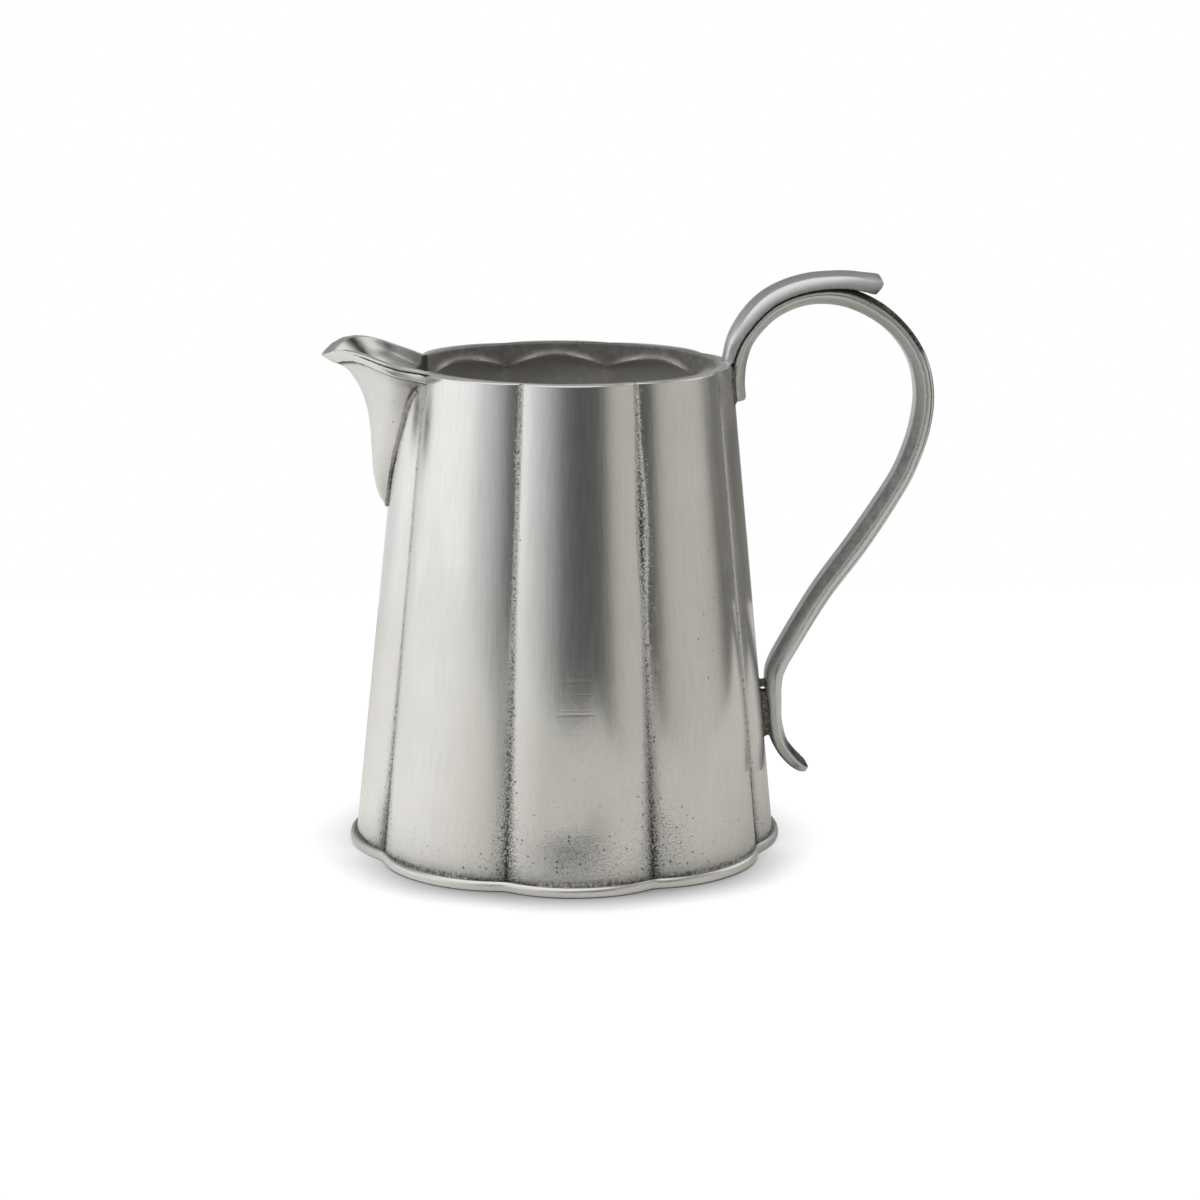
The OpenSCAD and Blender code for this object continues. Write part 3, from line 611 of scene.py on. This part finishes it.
# The rows of the grid are those of the skin, the band, over the lips, and the lining
skin_end = len(skin)
band_end = skin_end + len(BAND)
lining_from = band_end + len(over)
off_wall = np.abs(-skin[..., 0] - wall_x(skin[..., 1], skin[..., 2]))
crevice = np.zeros(spout_points.shape[:2])
crevice[skin_end:band_end] = groove_rows
crevice[skin_end - 4:skin_end] = np.linspace(0.15, 0.7, 4)[:, None]
crevice[:skin_end] = np.maximum(crevice[:skin_end], 0.8 * np.exp(-off_wall / 0.6))
crevice[lining_from:] = 0.12
cast = np.full(crevice.shape, 0.12)
cast[:skin_end] += 0.3 * np.exp(-off_wall / 3)
tarnish_and_shade = np.full(crevice.shape, 0.05)
tarnish_and_shade[lining_from:] = 0.75 * np.abs(t) ** 4 + 0.85 * np.exp(-(((t - 0.42) / 0.07) ** 2))
SMUDGE_FROM = 30
climb = np.linspace(0, 1, skin_end - SMUDGE_FROM)[:, None]
tarnish_and_shade[SMUDGE_FROM:skin_end] += 0.3 * np.exp(-(((np.abs(t) - 0.8) / 0.1) ** 2)) * climb
marks = {"crevice": crevice.T, "cast": cast.T, "tarnish_and_shade": tarnish_and_shade.T}
spout = lay_surface("spout", spout_points.transpose(1, 0, 2), marks, ends=True)
spout_pewter = pewter_finish("spout pewter", (0.79, 0.788, 0.775), PATINA_AND_SHADE, gloss=0.27, cast=0.42, brushing=0.35)
spout.data.materials.append(spout_pewter)
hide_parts("spout")
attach(spout, "root")

# Spout's solder: a rough grey bead of tin solder, run along both edges of the spout when it was
# fixed to the wall, and left unbrushed.
solder = pewter_finish(
    "solder", (0.42, 0.41, 0.395), (0.12, 0.115, 0.11), pits=0.6, brushing=0.0, gloss=0.42, cast=0.62
)
SEAM_WIDTH = 0.95
SEAM_HEIGHT = 18
SEAM_STATIONS = 181
seam = [
    (half * SPOUT_HALF + swell * BOWL_SWELL * 0.38, BODY_HEIGHT + edge_drop * SPOUT_DROP)
    for _, _, half, edge_drop, swell, _ in SPOUT_ROWS
]
seam_foot = (0, seam[0][1] + 1.0)
seam = seam[2:-1]
path = smooth_rows([(-y, z) for y, z in seam[::-1]] + [seam_foot] + seam, SEAM_STATIONS)
way = np.gradient(path, axis=0)
side = np.stack([way[:, 1], -way[:, 0]], -1) / np.linalg.norm(way, axis=1, keepdims=True)
side[:, 1] = -np.abs(side[:, 1])
ring = np.linspace(0, 2 * math.pi, 20, endpoint=False)
lump = 1 + 0.22 * wavering(np.arange(SEAM_STATIONS)[:, None] / 2.3, ring, 4.0)
climb = (path[:, 1:] - path[:, 1].min()) / SEAM_HEIGHT
out = (0.42 + 0.62 * np.cos(ring)) * SEAM_WIDTH * lump * (1 - 0.4 * climb.clip(0, 1))
proud = np.maximum(0.08 + 0.5 * np.sin(ring) * lump, -0.25)
yz = path[:, None] + side[:, None] * out[..., None]
x = -(wall_x(yz[..., 0], yz[..., 1]) + proud)
solder_points = np.stack([x, yz[..., 0], yz[..., 1]], -1)
crevice = 0.15 + 0.5 * np.exp(-((climb - 0.3) / 0.3) ** 2) + 0.2 * (proud < 0.1)
spout_solder = lay_surface("spout-solder", solder_points, {"crevice": crevice, "cast": 0.7}, ends=True)
spout_solder.data.materials.append(solder)
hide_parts("spout_solder")
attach(spout_solder, "root")

# Handle: a cast strap bent into a scroll. Its upper end lies on the wall under the rim, a reed
# runs along its back from the leaf's tip to the lower bend, and the tail ends in a blunt cut.
HANDLE_REACH = 34.4
HANDLE_RISE = 10.7
HANDLE_DROP = 79.9
STRAP_WIDTH = 7.0
STRAP_THICK = 3.0
REED_HEIGHT = 0.78
# Distance from the wall, height off the rim, thickness and height of the reed, as shares
STRAP = [
    (0.060, -0.089, 0.95, 0), (0.062, -0.044, 0.92, 0), (0.086, 0.05, 0.82, 0), (0.144, 0.41, 0.75, 0),
    (0.278, 0.80, 0.84, 0), (0.447, 1.00, 0.88, 0), (0.621, 0.98, 1.00, 0.5), (0.777, 0.77, 0.94, 1),
    (0.903, 0.43, 0.87, 1), (0.982, -0.004, 0.90, 1), (1.000, -0.076, 0.97, 1), (0.967, -0.151, 1.00, 1),
    (0.898, -0.225, 1.00, 1), (0.806, -0.292, 1.03, 1), (0.588, -0.416, 1.12, 1), (0.350, -0.542, 1.06, 1),
    (0.144, -0.670, 1.11, 0.5), (0.052, -0.738, 1.11, 0.1), (0.034, -0.788, 0.98, 0),
    (0.033, -0.826, 0.90, 0), (0.030, -0.864, 0.85, 0), (0.034, -0.907, 0.92, 0), (0.051, -0.935, 0.94, 0),
    (0.080, -0.959, 0.93, 0), (0.129, -0.984, 0.88, 0), (0.178, -0.9975, 0.78, 0), (0.224, -1.0, 0.60, 0)
]


def strap_line(count):
    """The line of the strap's inner face: x, z, thickness and reed height in mm, and the direction
    out of the face, at count stations."""
    away, level, thick, reed = np.array(STRAP).T
    z = BODY_HEIGHT + level * np.where(level > 0, HANDLE_RISE, HANDLE_DROP)
    x = crest_radius(z) + away * HANDLE_REACH
    line = smooth_rows(np.stack([x, z, thick * STRAP_THICK, reed * REED_HEIGHT], -1), count)
    d = np.gradient(line[:, :2], axis=0)
    out = np.stack([-d[:, 1], d[:, 0]], -1) / np.linalg.norm(d, axis=1, keepdims=True)
    return line, out


def swept(line, out, across, deep):
    """A section carried along the strap: across is y in mm, deep the distance out of the inner face."""
    x = line[:, :1] + out[:, :1] * deep
    z = line[:, 1:2] + out[:, 1:] * deep
    return np.stack([x, across + 0 * x, z], -1)


def path_length(points):
    """Length of the path through the points up to each of them."""
    return np.concatenate([[0], np.cumsum(np.linalg.norm(np.diff(points, axis=0), axis=1))])


def rolled_out(along, section, half_width, thick):
    """Where each point of a swept piece lies with its surface rolled out flat, in mm: round the
    section and along the strap, with one row and one column more to close it."""
    girth = path_length(section[:, :2] * [half_width, thick])
    across, down = np.append(girth, girth[-1] + 0.5), np.append(along, along[-1] + 0.3)
    return np.stack(np.meshgrid(across, down), -1)


# Half of the section from the middle of the inner face round to the top of the reed: share of
# the half width, share of the thickness, share of the reed's height, and patina with painted
# shade, darkest in the grooves beside the reed and along the edge of the side
STRAP_SECTION = [
    (0, 0.0, 0, 0.1), (0.25, 0.0, 0, 0.1), (0.45, 0.005, 0, 0.1), (0.54, 0.02, 0, 0.1), (0.62, 0.06, 0, 0.1),
    (0.78, 0.24, 0, 0.15), (0.91, 0.42, 0, 0.2), (0.96, 0.50, 0, 0.1), (0.99, 0.57, 0, 0.2),
    (1.0, 0.63, 0, 0.75), (1.0, 0.69, 0, 0), (0.98, 0.80, 0, 0), (0.94, 0.88, 0, 0.3), (0.87, 0.94, 0, 0.4),
    (0.80, 0.96, 0, 0.85), (0.75, 0.955, 0.0, 1.0), (0.71, 0.98, 0.06, 0.8), (0.68, 1, 0.24, 0.3),
    (0.64, 1, 0.48, 0), (0.56, 1, 0.74, 0), (0.42, 1, 0.90, 0), (0.22, 1, 0.98, 0), (0, 1, 1, 0)
]
section = np.array(STRAP_SECTION)
section = np.concatenate([section, section[-2:0:-1] * [-1, 1, 1, 1]])
wide, deep, reed, patina_and_shade = section.T
# Stations are counted from the strap's upper end
STATIONS = 420
station = np.arange(STATIONS)[:, None]
line, out = strap_line(STATIONS)
half_thick, reed_height = line[:, 2:3] / 2, line[:, 3:4]
blunt = np.ones((STATIONS, 1))
blunt[-8:, 0] = np.sqrt(1 - np.linspace(0, 0.9, 8) ** 2)
blunt[:4, 0] = [0.8, 0.9, 0.96, 0.99]
depth = 2 * deep * half_thick + reed * np.maximum(reed_height, 0)
depth = half_thick + (depth - half_thick) * blunt
depth += 0.015 * wavering(station / 17, wide * 2, 1.0)
strap_points = swept(line, out, wide * STRAP_WIDTH / 2 * blunt**0.5, depth)
reeded = np.clip(reed_height / REED_HEIGHT * 1.4, 0, 1)
# Patina and painted shade in the grooves beside the reed, and painted shade on the top under the
# leaf and a little way past its tip
painted_shade_under_leaf = falling(station, 140, 10)
crevice = np.where(patina_and_shade > 0.15, patina_and_shade * reeded, patina_and_shade)
crevice = np.maximum(crevice, 0.75 * painted_shade_under_leaf * rising(deep, 0.75, 0.2))
crevice = np.maximum(crevice, 0.42 * np.exp(-station / 22))
# Painted shade on the inner side, which faces the wall, as far as the lug, most of it below the
# arch; and darker on the tail
painted_shade_on_inner_side = np.clip((np.interp(station, [235, 290], [0.55, 0.2]) - deep) / 0.2 + 0.5, 0, 1)
painted_shade_on_inner_side = painted_shade_on_inner_side * np.where(np.abs(wide) > 0.5, 1, 0.6)
below_arch = rising(station, 130, 60) * falling(station, 255, 50)
tail = 0.9 * rising(station, 330, 30) * rising(deep, 0.68, 0.08)
tail = np.maximum(tail, 0.75 * rising(station, 320, 15) * (deep < 0.2))
tarnish_and_shade = 0.5 * painted_shade_under_leaf * rising(deep, 0.7, 0.2) + tail
tarnish_and_shade += painted_shade_on_inner_side * (0.18 + 0.42 * below_arch) * falling(station, 295, 20)
marks = {"crevice": crevice, "cast": 0.2 + 0.4 * crevice + 0.4 * np.exp(-station / 30), "tarnish_and_shade": tarnish_and_shade}
place = rolled_out(path_length(line[:, :2]), section, STRAP_WIDTH / 2, STRAP_THICK)
strap = lay_surface("handle-strap", strap_points, marks, ends=True, place=place)
handle_pewter = pewter_finish(
    "handle pewter", (0.735, 0.738, 0.732), PATINA_AND_SHADE, pits=0.8, gloss=0.26, cast=0.45, by_surface=True
)
strap.data.materials.append(handle_pewter)
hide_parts("handle_strap")
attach(strap, "root")

# Leaf: a domed strip of pewter soldered along the top of the strap. Its narrow root lands on
# the rim, and its tip is cut off square and stands a little free of the strap.
LEAF_WIDTH = 8.6
LEAF_THICK = 3.3
# Where its root and tip lie on the strap, in steps of which the strap has HANDLE_STEPS
HANDLE_STEPS = 78
LEAF_FROM, LEAF_TO = 5, 20.4
FINE = 20
# Thickness, width and height above the strap, as shares, on even stations from root to tip
LEAF = [
    (0.60, 0.66, 0), (0.70, 0.72, 0), (0.82, 0.84, 0), (0.91, 0.95, 0), (0.94, 1, 0), (0.95, 1, 0),
    (0.96, 0.97, 0.01), (0.96, 0.92, 0.05), (1.02, 0.86, 0.20), (1.14, 0.80, 0.43)
]
# Half of the section from the middle of the underside to the top of the dome: share of the half
# width, share of the thickness, and painted shade: dark underneath, none high on the sides, and
# grey over the top
LEAF_SECTION = [
    (0, 0.0, 0.5), (0.5, 0.0, 0.6), (0.84, 0.0, 0.9), (0.93, 0.02, 0.7), (0.98, 0.06, 0.5),
    (1.0, 0.12, 0.42), (0.99, 0.2, 0.36), (0.965, 0.3, 0.3), (0.935, 0.4, 0.2), (0.90, 0.50, 0.1),
    (0.86, 0.60, 0), (0.815, 0.685, 0), (0.75, 0.75, 0), (0.66, 0.80, 0.1), (0.54, 0.85, 0.25),
    (0.38, 0.91, 0.35), (0.22, 0.96, 0.35), (0.1, 0.99, 0.35), (0, 1.0, 0.35)
]
section = np.array(LEAF_SECTION)
section = np.concatenate([section, section[-2:0:-1] * [-1, 1, 1]])
wide, deep, patina_and_shade = section.T
first, last = round(LEAF_FROM * FINE), round(LEAF_TO * FINE)
line, out = (run[first:last + 1:2] for run in strap_line(HANDLE_STEPS * FINE + 1))
shape = smooth_rows(np.array(LEAF) * [LEAF_THICK, LEAF_WIDTH / 2, LEAF_THICK], len(line))
thick, half_width, lift = shape.T[..., None]
ending = np.ones((len(line), 1))
ending[-3:, 0] = [0.99, 0.97, 0.93]
depth = line[:, 2:3] + lift + ((deep - 0.5) * ending + 0.5) * thick
leaf_points = swept(line, out, wide * half_width * ending, depth)
leaf_points[..., 2] = np.maximum(leaf_points[..., 2], BODY_HEIGHT - 0.1)
# The tip's cut: it leans back under the leaf, and its upper corner is taken off
along = path_length(line[:, :2])
from_tip = (along[-1] - along)[:, None]
slant = np.interp(deep, [0, 0.4, 0.72, 1], [-0.1, 0.3, 0.35, -0.8]) * falling(from_tip, 0, 3)
ahead = np.gradient(line[:, :2], axis=0)
ahead /= np.linalg.norm(ahead, axis=1, keepdims=True)
leaf_points[..., 0] += ahead[:, :1] * slant
leaf_points[..., 2] += ahead[:, 1:] * slant
tip = np.exp(-from_tip / 1.5)
# Painted shade from the section, and darker towards the cut tip
marks = {
    "crevice": np.maximum(patina_and_shade, 0.35 * tip),
    "cast": 0.15 + 0.3 * patina_and_shade + 0.45 * tip,
    "tarnish_and_shade": 0.3 * tip + patina_and_shade * (deep > 0.05),
}
place = rolled_out(along, section, LEAF_WIDTH / 2, 3)
leaf = lay_surface("handle-leaf", leaf_points, marks, ends=True, place=place)
leaf.data.materials.append(handle_pewter)
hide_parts("handle_leaf")
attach(leaf, "root")

# Solder at the rim: a rough dark pad of tin solder round the strap's upper end, which holds the
# handle to the wall. It is lumpy, as it set.
PAD_MIDDLE, PAD_HALF_WIDTH, PAD_HALF_HEIGHT = 87.8, 6.2, 3.6
y, z = np.meshgrid(np.linspace(-6.3, 6.3, 64), np.linspace(84.2, 91.3, 48))
off_middle = np.maximum(np.abs(y) / PAD_HALF_WIDTH, np.abs(z - PAD_MIDDLE) / PAD_HALF_HEIGHT)
lumps = 0.72 + 0.22 * wavering(y * 1.5, z * 1.3, 3.0) + 0.12 * wavering(y * 3.7, z * 3.1, 5.0)
stand = np.clip(1 - off_middle**4, 0, 1) ** 0.6 * lumps - 0.25
front, back = (np.stack([wall_x(y, z) + off, y, z], -1) for off in (stand, -0.5))
both = np.concatenate([front, back[:, ::-1]], 1)
pad_piece = lay_surface("handle-top-solder", both, {"crevice": 0.72, "cast": 0.9}, ends=True)
pad_piece.data.materials.append(solder)
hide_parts("handle_top_solder")
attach(pad_piece, "root")

# Lug: the short dark block of cast pewter between the wall and the strap's lower end. It is
# soldered to both, and left as it was cast.
turn = np.linspace(0, 2 * math.pi, 48, endpoint=False)


def block(z_low, z_high, half, name, seed, flare=0.1):
    """A rounded block in the gap between wall and strap: a superellipse in y and z, carried from
    inside the wall to inside the strap, and waisted by the share flare."""
    cy = np.sign(np.cos(turn)) * np.abs(np.cos(turn)) ** 0.5
    cz = np.sign(np.sin(turn)) * np.abs(np.sin(turn)) ** 0.5
    s = np.linspace(0, 1, 14)[:, None]
    waist = 1 + flare * (0.5 - np.sin(math.pi * s)) + 0.05 * wavering(turn * 2, s * 5, seed)
    y = half * cy * waist
    z = (z_low + z_high) / 2 + (z_high - z_low) / 2 * cz * waist
    # The gap between wall and strap narrows a little upwards
    x = wall_x(y, z) - 0.3 + (2.2 - 0.02 * (z - 20)) * s
    points = np.stack([x, y, z], -1)
    crevice = 0.66 + 0.3 * np.maximum(np.exp(-s * 5), np.exp(-(1 - s) * 5)) + 0 * z
    return lay_surface(name, points, {"crevice": crevice, "cast": 0.8}, ends=True)


LUG_BOTTOM, LUG_TOP, LUG_HALF_WIDTH = 18.9, 28.4, 2.3
lug = block(LUG_BOTTOM, LUG_TOP, LUG_HALF_WIDTH, "handle-lug", 1.0)
lug.data.materials.append(dull_pewter)
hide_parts("handle_lug")
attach(lug, "root")

# Solder over the lug: a small grey bead of tin solder that joins the strap to the wall above the
# lug, with a pinhole left between it and the lug.
BEAD_BOTTOM, BEAD_TOP, BEAD_HALF_WIDTH = 28.8, 30.35, 1.9
bead = block(BEAD_BOTTOM, BEAD_TOP, BEAD_HALF_WIDTH, "handle-lug-solder", 6.0, flare=0.5)
bead.data.materials.append(solder)
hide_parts("handle_lug_solder")
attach(bead, "root")

# Studio: a white table that ends a little way behind the jug and to its right, white paper behind
# it, a light room on the left and a dim one in front, where the camera stands.
LEFT, RIGHT, NEAR, FAR = -1.2, 0.235, -0.66, 0.22
table = bpy.data.meshes.new("table")
corners = [(LEFT, NEAR, 0), (RIGHT, NEAR, 0), (RIGHT, FAR, 0), (LEFT, FAR, 0)]
table.from_pydata(corners, [], [(0, 1, 2, 3)])
table_top = bpy.data.objects.new("table", table)
bpy.context.collection.objects.link(table_top)
white = bpy.data.materials.new("white table")
white.use_nodes = True
tree = white.node_tree
paper = tree.nodes["Principled BSDF"]
paper.inputs["Base Color"].default_value = (0.88, 0.855, 0.805, 1)
paper.inputs["Emission Color"].default_value = (1, 1, 1, 1)
paper.inputs["Roughness"].default_value = 0.9
paper.inputs["Specular IOR Level"].default_value = 0.0
glow_with_painted_shadow, seen, pick, painted_shadow_occlusion, along_table, ground = (
    new_node(tree, kind)
    for kind in ("Emission", "LightPath", "MixShader", "AmbientOcclusion", "SeparateXYZ", "TexCoord")
)
# Painted shadow: where the camera sees the table, it glows, dimmed by ambient occlusion round the jug
painted_shadow_occlusion.inputs["Distance"].default_value = 0.012
painted_shadow_occlusion.samples = 16
level = new_node(tree, "Math", "MULTIPLY")
level.inputs[1].default_value = 1.03
# The light comes from behind too, so the painted shadow is made deepest along the front of the
# foot: its power grows towards the front
deeper_painted_shadow = map_range(tree, -0.010, -0.034, 0.6, 2.2)
painted_shadow = new_node(tree, "Math", "POWER")
# Painted light: a glow on the table towards the left, which the camera does not see directly,
# makes the table there as bright as the room over it in reflections
outwards = new_node(tree, "VectorMath", "NORMALIZE")
to_left = new_node(tree, "VectorMath", "DOT_PRODUCT")
to_left.inputs[1].default_value = (-0.99, 0.14, 0)
painted_light_pool = map_range(tree, 0.3, 0.98, 0.0, 0.33)
link_sockets(
    tree,
    [
        (ground.outputs["Object"], outwards.inputs[0]),
        (outwards.outputs["Vector"], to_left.inputs[0]),
        (to_left.outputs["Value"], painted_light_pool.inputs["Value"]),
        (painted_light_pool.outputs[0], paper.inputs["Emission Strength"]),
        (ground.outputs["Object"], along_table.inputs[0]),
        (along_table.outputs["Y"], deeper_painted_shadow.inputs["Value"]),
        (painted_shadow_occlusion.outputs["AO"], painted_shadow.inputs[0]),
        (deeper_painted_shadow.outputs[0], painted_shadow.inputs[1]),
        (painted_shadow.outputs[0], level.inputs[0]),
        (level.outputs[0], glow_with_painted_shadow.inputs["Strength"]),
        (seen.outputs["Is Camera Ray"], pick.inputs[0]),
        (paper.outputs[0], pick.inputs[1]),
        (glow_with_painted_shadow.outputs[0], pick.inputs[2]),
        (pick.outputs[0], tree.nodes["Material Output"].inputs["Surface"]),
    ],
)
table.materials.append(white)

world = bpy.data.worlds.new("studio")
bpy.context.scene.world = world
world.use_nodes = True
tree = world.node_tree
direction, parts, room = (new_node(tree, kind) for kind in ("TexCoord", "SeparateXYZ", "ValToRGB"))
front, bearing = new_node(tree, "Math", "MULTIPLY"), new_node(tree, "Math", "ARCTAN2")
front.inputs[1].default_value = -1
turned = map_range(tree, -math.pi, math.pi)
# Bearing in degrees from the front towards the handle side, and how bright the room is there
ROOM = [
    (-180, 0.45), (-165, 0.60), (-145, 0.64), (-120, 0.80), (-95, 0.84), (-70, 0.80), (-50, 0.54),
    (-38, 0.44), (-26, 0.31), (-10, 0.11), (3, 0.075), (24, 0.08), (32, 0.17), (40, 0.37),
    (54, 0.42), (84, 0.44), (98, 0.42), (105, 0.30), (113, 0.12), (150, 0.17), (180, 0.45)
]
room.color_ramp.interpolation = "EASE"
stops = room.color_ramp.elements
stops[0].position, stops[1].position = 0, 1
stops[0].color = stops[1].color = (ROOM[0][1], ROOM[0][1], ROOM[0][1], 1)
for degrees, level in ROOM[1:-1]:
    stop = stops.new(degrees / 360 + 0.5)
    warm = 0.0 if degrees < 30 else 1.0
    stop.color = (level, level * (1 - 0.035 * warm), level * (1 - 0.11 * warm), 1)
# The room is grey overhead, with a softbox there towards the front and a window at the right
overhead, softbox, window = (map_range(tree, *run) for run in ((0.15, 0.5), (0.62, 0.8), (0.86, 0.95)))
overhead.interpolation_type = softbox.interpolation_type = "SMOOTHSTEP"
over_front, from_window = (new_node(tree, "VectorMath", "DOT_PRODUCT") for _ in range(2))
over_front.inputs[1].default_value = (-0.30, -0.38, 0.875)
from_window.inputs[1].default_value = (0.76, 0.41, 0.5)
strongest = new_node(tree, "Math", "MAXIMUM")
dim, lit, shown = (new_node(tree, "Mix") for _ in range(3))
dim.data_type = lit.data_type = shown.data_type = "RGBA"
dim.inputs["B"].default_value = (0.25, 0.25, 0.245, 1)
lit.inputs["B"].default_value = (0.78, 0.78, 0.78, 1)
shown.inputs["B"].default_value = (1, 1, 1, 1)
brighter = new_node(tree, "VectorMath", "SCALE")
brighter.inputs["Scale"].default_value = 1.25
# The camera sees white all round, and so do metal and glass where the white paper hangs
path = new_node(tree, "LightPath")
behind, below = map_range(tree, 0.93, 0.98), map_range(tree, 0.04, -0.04)
mirrored, white_share = (new_node(tree, "Math", "MAXIMUM") for _ in range(2))
hung, in_mirror = (new_node(tree, "Math", "MULTIPLY") for _ in range(2))
link_sockets(
    tree,
    [
        (direction.outputs["Generated"], parts.inputs[0]),
        (parts.outputs["Y"], front.inputs[0]),
        (parts.outputs["X"], bearing.inputs[0]),
        (front.outputs[0], bearing.inputs[1]),
        (bearing.outputs[0], turned.inputs["Value"]),
        (turned.outputs[0], room.inputs[0]),
        (parts.outputs["Z"], overhead.inputs["Value"]),
        (direction.outputs["Generated"], over_front.inputs[0]),
        (over_front.outputs["Value"], softbox.inputs["Value"]),
        (overhead.outputs[0], dim.inputs["Factor"]),
        (room.outputs[0], dim.inputs["A"]),
        (direction.outputs["Generated"], from_window.inputs[0]),
        (from_window.outputs["Value"], window.inputs["Value"]),
        (softbox.outputs[0], strongest.inputs[0]),
        (window.outputs[0], strongest.inputs[1]),
        (strongest.outputs[0], lit.inputs["Factor"]),
        (dim.outputs["Result"], lit.inputs["A"]),
        (parts.outputs["Y"], behind.inputs["Value"]),
        (parts.outputs["Z"], below.inputs["Value"]),
        (behind.outputs[0], hung.inputs[0]),
        (below.outputs[0], hung.inputs[1]),
        (path.outputs["Is Glossy Ray"], mirrored.inputs[0]),
        (path.outputs["Is Transmission Ray"], mirrored.inputs[1]),
        (mirrored.outputs[0], in_mirror.inputs[0]),
        (hung.outputs[0], in_mirror.inputs[1]),
        (path.outputs["Is Camera Ray"], white_share.inputs[0]),
        (in_mirror.outputs[0], white_share.inputs[1]),
        (white_share.outputs[0], shown.inputs["Factor"]),
        (lit.outputs["Result"], brighter.inputs[0]),
        (brighter.outputs[0], shown.inputs["A"]),
        (shown.outputs["Result"], tree.nodes["Background"].inputs["Color"]),
    ],
)

# Camera: at the photograph's angle, a little left of the front and looking slightly down.
# It was fitted to the jug's outline there. Angles are in degrees, the rest in mm
AZIMUTH, ELEVATION, ROLL = -5.034, 12.319, 0.389
DISTANCE, AIM_ACROSS, AIM_HEIGHT = 596.076, 6.488, 46.355
FOCAL_LENGTH, FILM_WIDTH = 93.84, 36.0
azimuth, elevation, roll = (math.radians(v) for v in (AZIMUTH, ELEVATION, ROLL))
right = np.array([math.cos(azimuth), math.sin(azimuth), 0])
facing = np.array([math.sin(azimuth), -math.cos(azimuth), 0])
back = facing * math.cos(elevation) + [0, 0, math.sin(elevation)]
up = np.cross(back, right)
spot = (AIM_ACROSS * right + [0, 0, AIM_HEIGHT] + back * DISTANCE) * MM
right, up = math.cos(roll) * right + math.sin(roll) * up, -math.sin(roll) * right + math.cos(roll) * up
lens = bpy.data.cameras.new("camera")
lens.sensor_width = FILM_WIDTH
lens.lens = FOCAL_LENGTH
lens.clip_start = 0.01
camera = bpy.data.objects.new("camera", lens)
bpy.context.collection.objects.link(camera)
pose = np.eye(4)
pose[:3, 0], pose[:3, 1], pose[:3, 2], pose[:3, 3] = right, up, back, spot
camera.matrix_world = Matrix(pose.tolist())
bpy.context.scene.camera = camera
bpy.context.scene.view_settings.view_transform = "Standard"
